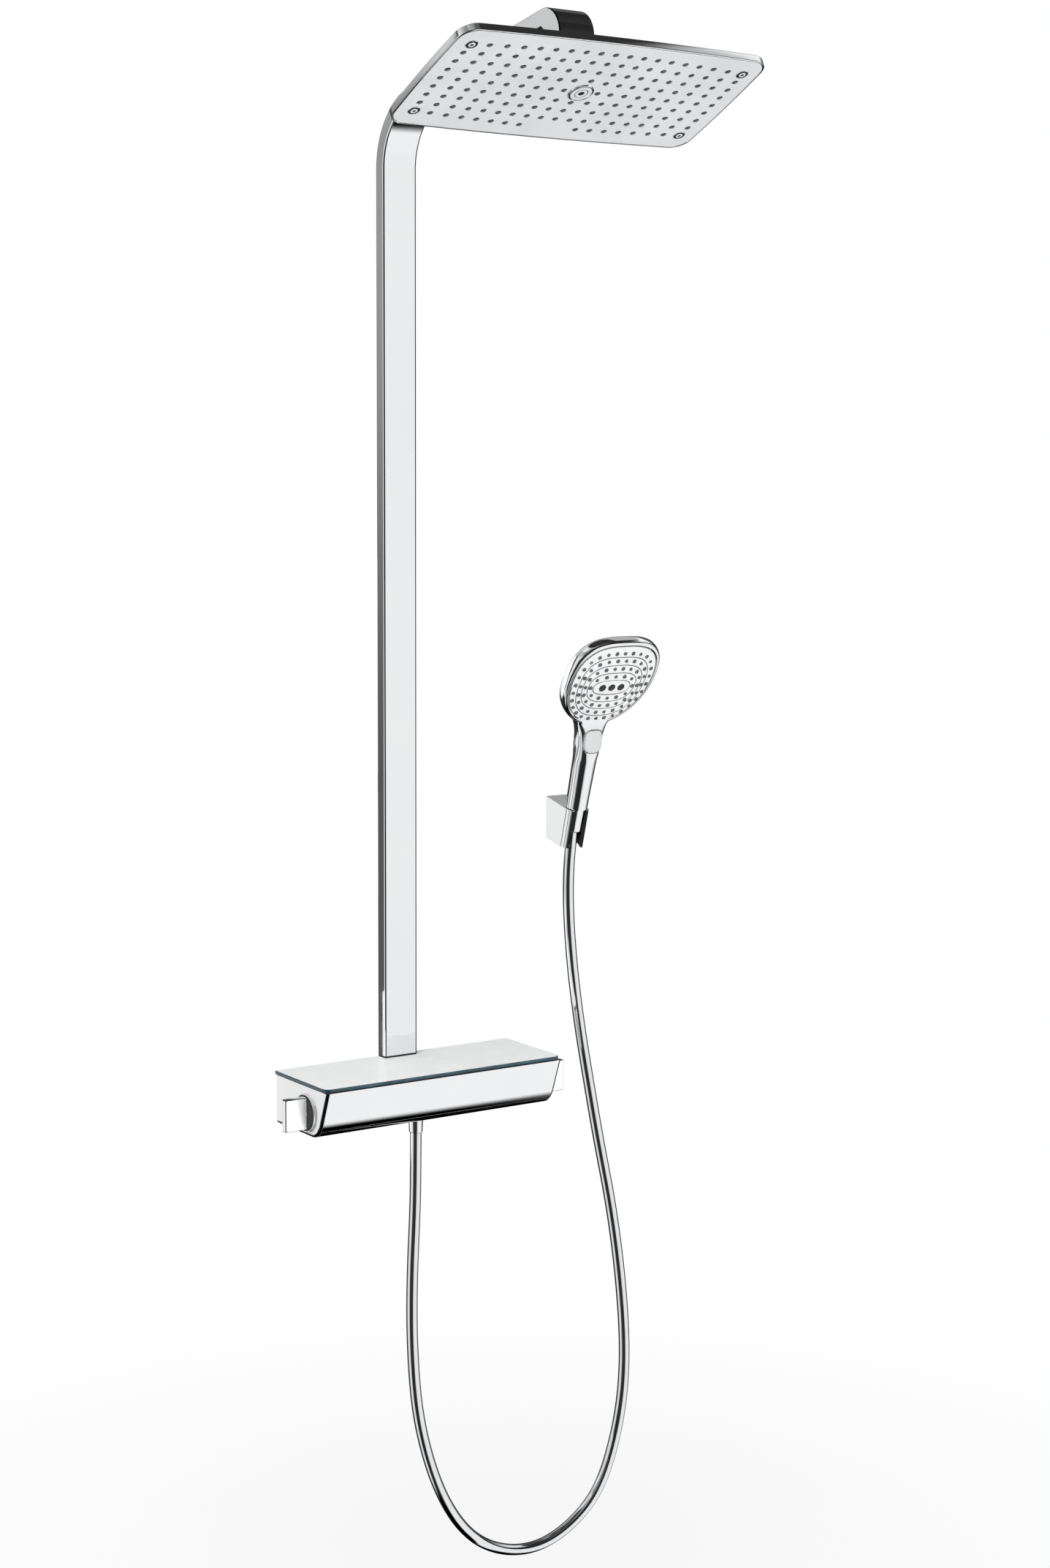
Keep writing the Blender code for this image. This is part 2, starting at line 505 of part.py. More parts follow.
def build_head(mats):
    rim_wall = 2.6
    lip = PLATE_INSET
    rings = [head_outline(lip, 0.0), head_outline(1.0, -0.2), head_outline(0.0, 1.2),
             head_outline(0.0, HEAD_RIM_H - 2), head_outline(1.6, HEAD_RIM_H),
             head_outline(22.0, HEAD_RIM_H + 3.0), head_outline(0, HEAD_RIM_H + 6.5, NECK_HOLE_R),
             head_outline(0, HEAD_RIM_H + 4.5, NECK_HOLE_R), head_outline(22.0, HEAD_RIM_H + 1.0),
             head_outline(rim_wall + 1.2, HEAD_RIM_H - 2.2), head_outline(rim_wall + 1.2, 2.4),
             head_outline(lip, 2.4)]
    loft("head_shell", rings, mats["chrome"], origin=BALL, closed=True)

    plate = loft("spray_plate", [head_outline(lip + GAP, 0.4), head_outline(lip + GAP, 0.4 + PLATE_T)],
                 mats["satin"], origin=BALL)
    holes = [[head_ring(a, b, -2.0, NOZZLE_HOLE_R, 4), head_ring(a, b, 5.0, NOZZLE_HOLE_R, 4)]
             for a, b in nozzle_spots()]
    for a in (-NOZZLE_HALF_W, NOZZLE_HALF_W):
        for b in (-NOZZLE_HALF_D, NOZZLE_HALF_D):
            holes.append([head_ring(a, b, -2.0, SCREW_HEAD_R + 0.4, 16),
                          head_ring(a, b, 5.0, SCREW_HEAD_R + 0.4, 16)])
    holes.append([head_ring(0, 0, -2.0, 5.0, 16), head_ring(0, 0, 5.0, 5.0, 16)])
    cut(plate, group("cut_plate_holes", holes, None))

    mat_low = 0.4 + PLATE_T + GAP
    mat_pad = loft("nozzle_mat", [head_outline(lip + 1.2, mat_low), head_outline(lip + 1.2, mat_low + 1.2)],
                   mats["silicone"], origin=BALL)
    tips = [[head_ring(a, b, -0.6, NOZZLE_TIP_R, 4), head_ring(a, b, mat_low + 0.6, NOZZLE_TIP_R + 0.3, 4)]
            for a, b in nozzle_spots()]
    cut(mat_pad, group("cut_mat_tips", tips, None), "UNION")

    for a, across in ((-NOZZLE_HALF_W, "left"), (NOZZLE_HALF_W, "right")):
        for b, deep in ((-NOZZLE_HALF_D, "front"), (NOZZLE_HALF_D, "back")):
            loft("plate_screw_" + deep + "_" + across,
                 [head_ring(a, b, h, r, 16) for h, r in
                  ((-0.5, SCREW_HEAD_R - 0.6), (0.0, SCREW_HEAD_R), (mat_low - 0.6, SCREW_HEAD_R))],
                 mats["steel"], origin=BALL)
    disc = ((-1.4, DISC_R - 1.0), (-0.8, DISC_R), (0.1, DISC_R), (0.1, 4.4), (mat_low - 0.6, 4.4))
    loft("centre_disc", [head_ring(0, 0, h, r, 24) for h, r in disc],
         mats["chrome"], origin=BALL)

    base_h = HEAD_RIM_H + 6.5 + GAP
    loft("water_chamber", [head_outline(12.0, mat_low + 1.6), head_outline(12.0, mat_low + 4.2)],
         mats["black"], origin=BALL)

    floor_h = base_h - BALL_H
    cup_r = BALL_R + SEAT_T + 2 * SEAT_CLEAR
    cup = [(cup_r * math.cos(math.radians(a)), cup_r * math.sin(math.radians(a)))
           for a in (20, 8, -4, -16, -28, -40, -50)]
    top = cup[0][1]
    profile = [(30.0, floor_h), (30.0, floor_h + 2.0), (16.5, floor_h + 6.0), (15.5, top - 1.0),
               (14.0, top)] + cup + [(3.5, -11.0), (3.5, floor_h)]
    turned("swivel_socket", BALL, HEAD_UP, profile, mats["chrome"], origin=BALL, count=28, hollow=True)
    seat_in, seat_out = BALL_R + SEAT_CLEAR, BALL_R + SEAT_CLEAR + SEAT_T
    latitudes = [math.radians(a) for a in (-36, -24, -12, 0, 12)]
    seat = [(seat_in * math.cos(a), seat_in * math.sin(a)) for a in latitudes]
    seat += [(seat_out * math.cos(a), seat_out * math.sin(a)) for a in reversed(latitudes)]
    turned("ball_seat", BALL, Vector((0, 0, 1)), seat, mats["black"], origin=BALL, count=28, hollow=True)


# ---- hand shower holder -------------------------------------------------------------
def grip_point(a, t, out):
    return GRIP_FOOT + X_AXIS * a + GRIP_UP * t + GRIP_OUT * out


def wall_reach(t):
    """How far behind the holder's axis the wall lies at height t along it."""
    start = GRIP_FOOT + GRIP_UP * t
    return start.y / GRIP_OUT.y


def holder_outline(t, bore):
    """Plan of the holder: straight cheeks from the wall and a C-shaped clip, open in front."""
    half_w, slot = HOLD_HALF_W, HOLD_SLOT
    back = -wall_reach(t)
    points = [(half_w, back), (half_w, 0.0)]
    steps = 6
    quarter = math.pi / 2 - slot
    for i in range(1, steps + 1):
        angle = quarter * i / steps
        points.append((half_w * math.cos(angle), half_w * math.sin(angle)))
    for i in range(13):
        angle = (math.pi / 2 - slot) - (2 * math.pi - 2 * slot) * i / 12
        points.append((bore * math.cos(angle), bore * math.sin(angle)))
    for i in range(steps, 0, -1):
        angle = quarter * i / steps
        points.append((-half_w * math.cos(angle), half_w * math.sin(angle)))
    points += [(-half_w, 0.0), (-half_w, back)]
    return [grip_point(a, t, out) for a, out in points]


def build_holder(mats):
    holder = loft("holder_bracket",
                  [holder_outline(HOLD_BOTTOM_T, HOLD_BORE_R),
                   holder_outline(HOLD_TOP_T, HOLD_BORE_R + HOLD_FLARE)],
                  mats["chrome"])
    pocket = [Vector((HOLD_X + x, 0, HOLD_SCREW_Z + z)) for x, z in rounded_box(10.5, 15.5, 2)]
    cut(holder, prism("cut_holder_pocket", pocket, (0, 4, 0), (0, -14.0, 0), None))
    plate = [Vector((HOLD_X + x, 0, HOLD_SCREW_Z + z)) for x, z in rounded_box(10, 15, 1.6)]
    prism("holder_wall_plate", plate,
          (0, -0.1, 0), (0, -6.0, 0), mats["steel"])
    cut(bpy.data.objects["holder_wall_plate"],
        turned("cut_holder_plate", Vector((HOLD_X, 2, HOLD_SCREW_Z)), Vector((0, -1, 0)),
               [(2.6, 0), (2.6, 12)], None, count=16))
    turned("holder_screw", Vector((HOLD_X, -0.6, HOLD_SCREW_Z)), Vector((0, -1, 0)),
           [(2.2, 0), (2.2, 5.9), (4.4, 5.9), (4.0, 7.8)], mats["steel"], count=16)
    liner = []
    for t, bore in ((HOLD_BOTTOM_T + 1.0, HOLD_BORE_R - 1.5), (HOLD_TOP_T - 1.0, HOLD_BORE_R - 0.9)):
        points = []
        grow = HOLD_FLARE * (t - HOLD_BOTTOM_T) / (HOLD_TOP_T - HOLD_BOTTOM_T)
        for radius, order in ((HOLD_BORE_R + grow - GAP, range(13)), (bore, range(12, -1, -1))):
            for i in order:
                angle = math.pi / 2 - HOLD_SLOT - 0.06 - (2 * math.pi - 2 * HOLD_SLOT - 0.12) * i / 12
                points.append(grip_point(radius * math.cos(angle), t, radius * math.sin(angle)))
        liner.append(points)
    loft("holder_liner", liner, mats["black"])


# ---- hand shower --------------------------------------------------------------------
def tapered(outline):
    """Draw the lower part of the spray head's outline in towards the handle."""
    made = []
    for a, b in outline:
        reach = max(0.0, TAPER_START - b) / TAPER_RUN
        made.append((a * (1 - TAPER_SHARE * reach ** 1.9), b))
    return made


def face_ring(half_w, half_h, height, power=2.9, count=40, lift=0.0):
    return [FACE_CENTRE + X_AXIS * a + FACE_UP * (b + lift) + FACE_OUT * height
            for a, b in tapered(soft_square(half_w, half_h, power, count))]


def build_hand_shower(mats):
    foot = grip_point(0, 0, 0)
    dish = [face_ring(FACE_HALF_W, FACE_HALF_H, -3.0, lift=FACE_LIFT),
            face_ring(FACE_HALF_W + 1.6, FACE_HALF_H + 1.6, -3.4, lift=FACE_LIFT),
            face_ring(HAND_HALF_W, HAND_HALF_H, -9.0, lift=FACE_LIFT),
            face_ring(HAND_HALF_W, HAND_HALF_H, -HAND_DEPTH, lift=FACE_LIFT),
            face_ring(HAND_HALF_W - 4, HAND_HALF_H - 4, -HAND_DEPTH - 5, lift=FACE_LIFT),
            face_ring(HAND_HALF_W - 18, HAND_HALF_H - 18, -HAND_DEPTH - 10, lift=FACE_LIFT),
            face_ring(HAND_HALF_W - 36, HAND_HALF_H - 36, -HAND_DEPTH - 12, lift=FACE_LIFT)]
    shell = loft("hand_shower_shell", dish, mats["chrome"], origin=foot)
    # height along the grip, half width, half depth, offset of the section towards the front
    stations = ((-3.0, 12.5, 12.5, 0.0), (30, 13.2, 13.0, 0.0), (62, 14.0, 13.4, 0.2), (84, 15.8, 12.2, -0.8),
                (98, 20.8, 9.8, -1.2), (112, 30.4, 8.0, 2.0), (128, 38.0, 6.5, 8.0), (146, 32.0, 4.8, 15.0))
    handle = []
    for t, half_w, half_d, out in stations:
        angles = [k * math.pi / 12 for k in range(24)]
        handle.append([grip_point(half_w * math.cos(a), t, out + half_d * math.sin(a)) for a in angles])
    cut(shell, loft("cut_handle_union", handle, None), "UNION")
    recess = [face_ring(FACE_HALF_W - 2, FACE_HALF_H - 2, height, lift=FACE_LIFT) for height in (4.0, -8.5)]
    cut(shell, loft("cut_face_recess", recess, None))
    cut(shell, turned("cut_handle_bore", grip_point(0, -6, 0), GRIP_UP,
                      [(8.6, 0), (8.6, 60)], None, count=20))
    pocket = soft_square(BUTTON_HALF_W + 0.5, BUTTON_HALF_H + 0.5, 3.5, 28)
    pocket_ends = (BUTTON_LOW - 2.8, 24.0)
    cut(shell, loft("cut_button_pocket",
                    [[grip_point(a, BUTTON_T + b, out) for a, b in pocket] for out in pocket_ends], None))

    rim_w, rim_h = FACE_HALF_W - 2.4, FACE_HALF_H - 2.4
    face = [face_ring(rim_w, rim_h, -8.0, lift=FACE_LIFT), face_ring(rim_w, rim_h, -2.6, lift=FACE_LIFT),
            face_ring(46, 43.5, -0.4, lift=1.0), face_ring(28, 22, 0.6, lift=0.0)]
    plate = loft("hand_spray_face", face, mats["white"], origin=foot)
    slot = [face_ring(24.6, 9.6, height, 2.6, 28) for height in (-5.0, 4.0)]
    cut(plate, loft("cut_centre_insert", slot, None))
    loft("hand_centre_insert", [face_ring(24.2, 9.2, -4.6, 2.6, 28), face_ring(24.2, 9.2, 0.8, 2.6, 28)],
         mats["white"], origin=foot)
    spots = []
    # half width, half height and number of nozzles of each ring of nozzles
    for half_w, half_h, count in ((49.5, 47.5, 28), (41, 37, 22), (34.5, 26.5, 16), (29, 16.5, 12)):
        for a, b in tapered(soft_square(half_w, half_h, 2.8, count)):
            centre = FACE_CENTRE + X_AXIS * a + FACE_UP * (b + 1.0)
            rise = 0.9 - 3.4 * (a * a + b * b) / 49.5 ** 2
            spots.append([ring(centre + FACE_OUT * (rise - 3.0), X_AXIS, FACE_UP, 1.5, 5),
                          ring(centre + FACE_OUT * (rise + 1.0), X_AXIS, FACE_UP, 1.2, 5)])
    cut(plate, group("cut_hand_nozzles", spots, None), "UNION")

    cap = soft_square(BUTTON_HALF_W, BUTTON_HALF_H, 3.5, 28)
    small = soft_square(BUTTON_HALF_W - 1.2, BUTTON_HALF_H - 1.2, 3.5, 28)
    loft("select_button", [[grip_point(a, BUTTON_T + b, out) for a, b in outline] for outline, out in
                           ((cap, BUTTON_LOW), (cap, BUTTON_TOP - 1.0), (small, BUTTON_TOP))],
         mats["chrome"], origin=grip_point(0, BUTTON_T, BUTTON_LOW))
    turned("hand_waterway", grip_point(0, -2.0, 0), GRIP_UP,
           [(7.8, 0), (7.8, 8), (6.6, 8), (6.6, 50), (4.6, 50), (4.6, 0)], mats["white"],
           origin=foot, count=20, hollow=True)


# ---- hose and its nuts --------------------------------------------------------------
def smooth_route(points, step):
    """Points every step along a centripetal Catmull-Rom curve through the route."""
    knots = [Vector(p) for p in points]
    knots = [knots[0] * 2 - knots[1]] + knots + [knots[-1] * 2 - knots[-2]]
    fine = []
    for p0, p1, p2, p3 in zip(knots, knots[1:], knots[2:], knots[3:]):
        t0 = 0.0
        t1 = t0 + (p1 - p0).length ** 0.5
        t2 = t1 + (p2 - p1).length ** 0.5
        t3 = t2 + (p3 - p2).length ** 0.5
        for k in range(20):
            t = t1 + (t2 - t1) * k / 20
            a1 = p0.lerp(p1, (t - t0) / (t1 - t0))
            a2 = p1.lerp(p2, (t - t1) / (t2 - t1))
            a3 = p2.lerp(p3, (t - t2) / (t3 - t2))
            b1 = a1.lerp(a2, (t - t0) / (t2 - t0))
            b2 = a2.lerp(a3, (t - t1) / (t3 - t1))
            fine.append(b1.lerp(b2, (t - t1) / (t2 - t1)))
    fine.append(Vector(points[-1]))
    total = sum((b - a).length for a, b in zip(fine, fine[1:]))
    count = round(total / step)
    spaced, walked, target = [fine[0]], 0.0, total / count
    for a, b in zip(fine, fine[1:]):
        piece = (b - a).length
        while walked + piece >= target and len(spaced) < count:
            spaced.append(a.lerp(b, (target - walked) / piece))
            target += total / count
        walked += piece
    spaced.append(fine[-1])
    return spaced


def build_hose(mats):
    hose = bpy.data.curves.new("shower_hose", "CURVE")
    hose.dimensions = "3D"
    hose.bevel_depth = HOSE_R * MM
    hose.bevel_resolution = 3
    hose.use_fill_caps = True
    hose.resolution_u = 1
    hose.render_resolution_u = 0
    points = smooth_route(HOSE_ROUTE, HOSE_STEP)
    line = hose.splines.new("POLY")
    line.points.add(len(points) - 1)
    for knot, point in zip(line.points, points):
        knot.co = (*(point * MM), 1)
    hose.materials.append(mats["hose"])
    bpy.context.collection.objects.link(bpy.data.objects.new("shower_hose", hose))

    down, nut_run = Vector((0, 0, -1)), OUTLET_NUT_TOP - OUTLET_NUT_END
    turned("hose_nut_lower", Vector((0, OUTLET_Y, OUTLET_NUT_TOP)), down,
           [(8.7, 0), (8.7, 6), (7.6, nut_run), (3.0, nut_run), (3.0, 13.6), (6.7, 13.6), (6.7, 0)],
           mats["chrome"], origin=Vector((0, OUTLET_Y, OUTLET_NUT_TOP)), hollow=True, count=28)
    turned("hose_washer_lower", Vector((0, OUTLET_Y, -MANIFOLD_REACH - OUTLET_RUN - 2 * GAP)), down,
           [(6.2, 0), (6.2, 1.6), (3.4, 1.6), (3.4, 0)], mats["rubber"], hollow=True, count=16)
    length = NUT_TOP_T - NUT_END_T
    turned("hose_nut_upper", grip_point(0, NUT_TOP_T, 0), GRIP_UP * -1,
           [(NUT_R, 0), (NUT_R - 0.7, length), (3.0, length), (3.0, 12), (6.6, 12), (6.6, 0)], mats["chrome"],
           origin=grip_point(0, NUT_TOP_T, 0), hollow=True, count=28)
    turned("hose_washer_upper", grip_point(0, NUT_TOP_T - 3.0, 0), GRIP_UP * -1,
           [(6.2, 0), (6.2, 2.0), (3.4, 2.0), (3.4, 0)], mats["rubber"], origin=grip_point(0, 0, 0),
           hollow=True, count=16)


def main():
    clear_scene()
    mats = make_materials()
    build_mixer(mats)
    build_handles(mats)
    build_column(mats)
    build_head(mats)
    build_holder(mats)
    build_hand_shower(mats)
    build_hose(mats)


main()
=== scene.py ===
"""Looks of the rainfall shower column: chrome, glass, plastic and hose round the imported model.

Lengths are written in millimetres and scaled by MM where a mesh is stored. The frame is the
model's own: origin on the wall behind the mixer, +X right, +Y into the wall, +Z up.
"""
import json
import math

import bmesh
import bpy
from mathutils import Matrix, Vector

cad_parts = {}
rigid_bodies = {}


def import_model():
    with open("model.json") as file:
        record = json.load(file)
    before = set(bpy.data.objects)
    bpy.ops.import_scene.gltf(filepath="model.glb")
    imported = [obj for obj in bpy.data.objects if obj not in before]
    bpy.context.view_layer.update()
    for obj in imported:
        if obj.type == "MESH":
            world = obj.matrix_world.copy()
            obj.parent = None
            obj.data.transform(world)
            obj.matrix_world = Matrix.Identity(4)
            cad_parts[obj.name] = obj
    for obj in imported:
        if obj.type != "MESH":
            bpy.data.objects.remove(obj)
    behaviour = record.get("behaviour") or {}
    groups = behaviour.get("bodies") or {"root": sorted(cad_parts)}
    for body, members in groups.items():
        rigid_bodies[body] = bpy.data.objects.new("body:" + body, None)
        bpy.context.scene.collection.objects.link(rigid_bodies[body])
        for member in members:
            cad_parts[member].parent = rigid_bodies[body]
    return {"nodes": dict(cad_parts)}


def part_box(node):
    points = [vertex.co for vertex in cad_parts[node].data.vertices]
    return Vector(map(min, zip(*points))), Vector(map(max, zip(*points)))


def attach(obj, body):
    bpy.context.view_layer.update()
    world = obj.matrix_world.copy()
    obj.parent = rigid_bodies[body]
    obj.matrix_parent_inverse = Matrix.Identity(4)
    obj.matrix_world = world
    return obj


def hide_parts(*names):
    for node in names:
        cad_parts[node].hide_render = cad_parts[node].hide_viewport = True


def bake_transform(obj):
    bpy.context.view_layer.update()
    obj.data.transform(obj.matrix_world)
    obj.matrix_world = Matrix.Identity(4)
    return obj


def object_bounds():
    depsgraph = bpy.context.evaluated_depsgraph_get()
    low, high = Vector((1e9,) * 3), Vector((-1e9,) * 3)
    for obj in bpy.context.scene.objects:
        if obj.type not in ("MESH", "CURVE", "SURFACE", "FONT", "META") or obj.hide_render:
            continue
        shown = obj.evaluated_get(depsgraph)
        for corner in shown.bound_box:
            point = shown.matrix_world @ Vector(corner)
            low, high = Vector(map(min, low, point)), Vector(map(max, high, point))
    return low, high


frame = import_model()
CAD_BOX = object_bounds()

MM = 0.001
X_AXIS, Y_AXIS, Z_AXIS = Vector((1, 0, 0)), Vector((0, 1, 0)), Vector((0, 0, 1))
SHARP_ANGLE = math.radians(38)


def node_box(name):
    """Lowest and highest corner of a CAD node, in millimetres."""
    low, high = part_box(name)
    return low / MM, high / MM


def node_middle(name):
    low, high = node_box(name)
    return (low + high) / 2


# ---- frames of the tilted parts -----------------------------------------------------
HEAD_CENTRE, HEAD_TILT = Vector((0, -350.2, 1035.2)), math.radians(25.6)
HEAD_DEEP = Vector((0, math.cos(HEAD_TILT), -math.sin(HEAD_TILT)))
HEAD_UP = X_AXIS.cross(HEAD_DEEP)
BALL_H = 34.0
BALL = HEAD_CENTRE + HEAD_UP * BALL_H
HOLD_X = 220.0
GRIP_FOOT, GRIP_LEAN = Vector((HOLD_X, -40.1, 299.9)), math.radians(15.25)
GRIP_UP = Vector((0, -math.sin(GRIP_LEAN), math.cos(GRIP_LEAN)))
GRIP_OUT = Vector((0, -math.cos(GRIP_LEAN), -math.sin(GRIP_LEAN)))
FACE_CENTRE, FACE_TILT = Vector((HOLD_X, -104.4, 436.7)), math.radians(34.2)
FACE_UP = Vector((0, -math.sin(FACE_TILT), math.cos(FACE_TILT)))
FACE_OUT = X_AXIS.cross(FACE_UP)

# The hose's route from the outlet nut to the hand shower's nut, as the CAD model lays it.
HOSE_ROUTE = [
    (0, -48, -48.4), (-1, -48, -130), (-5, -48, -215), (-5, -49, -298), (4, -50, -384),
    (33.6, -52, -475), (76, -52, -532.5), (126, -52, -558), (177, -52, -559.5),
    (243, -50, -522.5), (265, -49, -483), (284, -47, -420), (291, -44, -356),
    (287, -40, -267.5), (275.5, -36, -178.5), (260, -32, -98), (248, -28, -28),
    (237, -24, 41.5), (228, -21.5, 112), (222.5, -21, 180), (220.6, -24.2, 231),
    (220, -31.4, 268.4),
]
HOSE_R, HOSE_STEP, FINE_STEPS, EVEN_ROUNDS = 6.4, 5.0, 20, 30


# ---- camera, lights and surroundings ------------------------------------------------
CAMERA_AT = Vector((-1486.5, -2451.1, 675.8))
CAMERA_YAW, CAMERA_PITCH, CAMERA_ROLL = 0.596, -0.119, 0.004
CAMERA_LENS = 60.22
BACKDROP, FLOOR_TONE = (1.0, 1.0, 1.0, 1.0), (0.9, 0.9, 0.9, 1.0)
FLOOR_R, DOME_R, FLOOR_GAP = 14.0, 16.0, 0.12
FADE_START, FADE_END, FADE_LEAST = 0.25, 1.5, 0.8
# Brightness all round the studio by compass angle (degrees from +Y towards +X), one ring for each
# band of height, from the floor up. A ring takes over from the one before it between the two
# elevations (degrees) that stand after it.
STUDIO = [
    ([(-180, 0.0), (142, 0.0), (152, 0.9), (166, 0.9), (174, 0.0), (180, 0.0)], None),
    ([(-180, 0.9), (-172, 0.6), (-160, 0.02), (-112, 0.02), (-88, 0.8), (-60, 0.8), (-42, 0.02), (52, 0.0),
      (76, 0.03), (92, 0.92), (180, 0.9)], (-58, -48.5)),
    ([(-180, 0.85), (-175, 0.6), (-166, 0.03), (-110, 0.03), (-86, 0.8), (-60, 0.9), (-45, 0.16), (-20, 0.05),
      (50, 0.03), (96, 0.08), (116, 0.9), (180, 0.85)], (-34, -12)),
    ([(-180, 0.85), (-175, 0.5), (-168, 0.02), (-108, 0.02), (-84, 0.7), (-60, 0.85), (-40, 0.4), (-29, 0.3),
      (-12, 0.08), (50, 0.03), (96, 0.08), (116, 0.9), (180, 0.85)], (-7, 5)),
    ([(-180, 0.02), (-118, 0.05), (-100, 0.8), (-62, 0.8), (-48, 0.1), (-40, 0.16), (-35.5, 0.62),
      (-30, 0.45), (-24, 0.6), (-10, 0.08), (60, 0.03), (140, 0.03), (180, 0.02)], (6.8, 9)),
    ([(-180, 0.02), (-150, 0.03), (-110, 0.25), (-60, 0.6), (-20, 0.6), (25, 0.1), (62, 0.08),
      (78, 0.8), (115, 0.9), (119, 0.5), (124, 0.06), (128, 0.02), (180, 0.02)], (14, 34)),
    ([(-180, 0.1), (-150, 0.3), (-60, 0.9), (-20, 0.6), (30, 0.3), (60, 0.02), (138, 0.03),
      (160, 0.1), (180, 0.1)], (44.2, 46.2)),
    ([(-180, 0.03), (180, 0.03)], (60, 67)),
]


def make_camera():
    forward = Vector((math.sin(CAMERA_YAW) * math.cos(CAMERA_PITCH),
                      math.cos(CAMERA_YAW) * math.cos(CAMERA_PITCH), math.sin(CAMERA_PITCH)))
    right = Vector((math.cos(CAMERA_YAW), -math.sin(CAMERA_YAW), 0))
    up = right.cross(forward)
    c, s = math.cos(CAMERA_ROLL), math.sin(CAMERA_ROLL)
    right, up = right * c + up * s, up * c - right * s
    data = bpy.data.cameras.new("camera")
    data.lens = CAMERA_LENS
    data.sensor_fit = "AUTO"
    data.sensor_width = 36.0
    data.clip_end = 60.0
    camera = bpy.data.objects.new("camera", data)
    turn = Matrix((right, up, -forward)).transposed().to_4x4()
    camera.matrix_world = Matrix.Translation(CAMERA_AT * MM) @ turn
    bpy.context.scene.collection.objects.link(camera)
    bpy.context.scene.camera = camera


def add_node(tree, kind, inputs=(), **settings):
    """One shader node; inputs maps a socket's name or index to a value or an output socket."""
    node = tree.nodes.new(kind)
    for name, value in settings.items():
        setattr(node, name, value)
    for key, value in dict(inputs).items():
        if isinstance(value, bpy.types.NodeSocket):
            tree.links.new(value, node.inputs[key])
        else:
            node.inputs[key].default_value = value
    return node


def math_node(tree, operation, *values):
    return add_node(tree, "ShaderNodeMath", dict(enumerate(values)), operation=operation).outputs[0]


def emptied(owner):
    """Clear the node tree of a new material or world."""
    owner.use_nodes = True
    owner.node_tree.nodes.clear()
    return owner.node_tree


def set_ramp(ramp, stops):
    """stops is a list of (position, brightness or colour)."""
    while len(ramp.elements) > 1:
        ramp.elements.remove(ramp.elements[-1])
    for k, (position, value) in enumerate(stops):
        element = ramp.elements[0] if k == 0 else ramp.elements.new(position)
        element.position = position
        colour = value if isinstance(value, tuple) else (value, value, value)
        element.color = (*colour, 1.0)


def make_world():
    """A studio that is a function of direction: rings of brightness, one over the other."""
    world = bpy.data.worlds.new("studio")
    bpy.context.scene.world = world
    tree = emptied(world)
    direction = add_node(tree, "ShaderNodeTexCoord").outputs["Generated"]
    split = add_node(tree, "ShaderNodeSeparateXYZ", {0: direction})
    compass = math_node(tree, "ARCTAN2", split.outputs[0], split.outputs[1])
    share = math_node(tree, "MULTIPLY_ADD", compass, 1 / (2 * math.pi), 0.5)
    elevation = math_node(tree, "ARCSINE", split.outputs[2])
    shade = None
    for stops, handover in STUDIO:
        node = add_node(tree, "ShaderNodeValToRGB", {0: share})
        node.color_ramp.interpolation = "EASE"
        set_ramp(node.color_ramp, [((angle + 180) / 360, value) for angle, value in stops])
        if handover is None:
            shade = node.outputs[0]
            continue
        start, end = handover
        mix = add_node(tree, "ShaderNodeMapRange",
                       {0: elevation, 1: math.radians(start), 2: math.radians(end)},
                       interpolation_type="SMOOTHSTEP")
        blend = add_node(tree, "ShaderNodeMix", {0: mix.outputs[0], 6: shade, 7: node.outputs[0]},
                         data_type="RGBA")
        shade = blend.outputs[2]
    background = add_node(tree, "ShaderNodeBackground", {0: shade, 1: 1.0})
    add_node(tree, "ShaderNodeOutputWorld", {0: background.outputs[0]})


def area_light(name, at, towards, width, height, watts, glossy):
    data = bpy.data.lights.new(name, "AREA")
    data.shape = "RECTANGLE"
    data.size, data.size_y = width, height
    data.energy = watts
    light = bpy.data.objects.new(name, data)
    light.location = at
    aim = Vector(towards) - Vector(at)
    light.rotation_mode = "QUATERNION"
    light.rotation_quaternion = aim.to_track_quat("-Z", "Y")
    light.visible_glossy = glossy
    light.visible_camera = False
    bpy.context.scene.collection.objects.link(light)
    return light


def make_lights():
    """Soft light for the matt surfaces, and small panels that only the chrome sees."""
    area_light("key_light", (-1.4, -1.6, 2.6), (0, 0, 0.2), 2.2, 2.2, 123, False)
    area_light("fill_light", (1.8, -2.4, 0.2), (0, 0, 0.4), 2.0, 2.0, 8, False)
    area_light("low_light", (0.6, -2.0, -2.0), (0, -0.3, 0.9), 2.4, 2.4, 112, False)
    panels = [("mixer_side_panel", (-0.43, 0.40, -0.12), (-0.15, -0.06, 0.0), 0.27, 0.22, 0.9),
              ("holder_side_panel", (-0.1, 0.40, 0.21), (0.2, -0.03, 0.28), 0.14, 0.13, 0.74),
              ("hand_side_panel", (0.06, 0.085, 0.46), (0.16, -0.10, 0.45), 0.2, 0.24, 0.9),
              ("hand_rim_panel", (0.57, 0.03, 0.96), (0.22, -0.13, 0.49), 0.36, 0.3, 0.42)]
    for name, at, towards, width, height, brightness in panels:
        area_light(name, at, towards, width, height, math.pi * width * height * brightness, True)


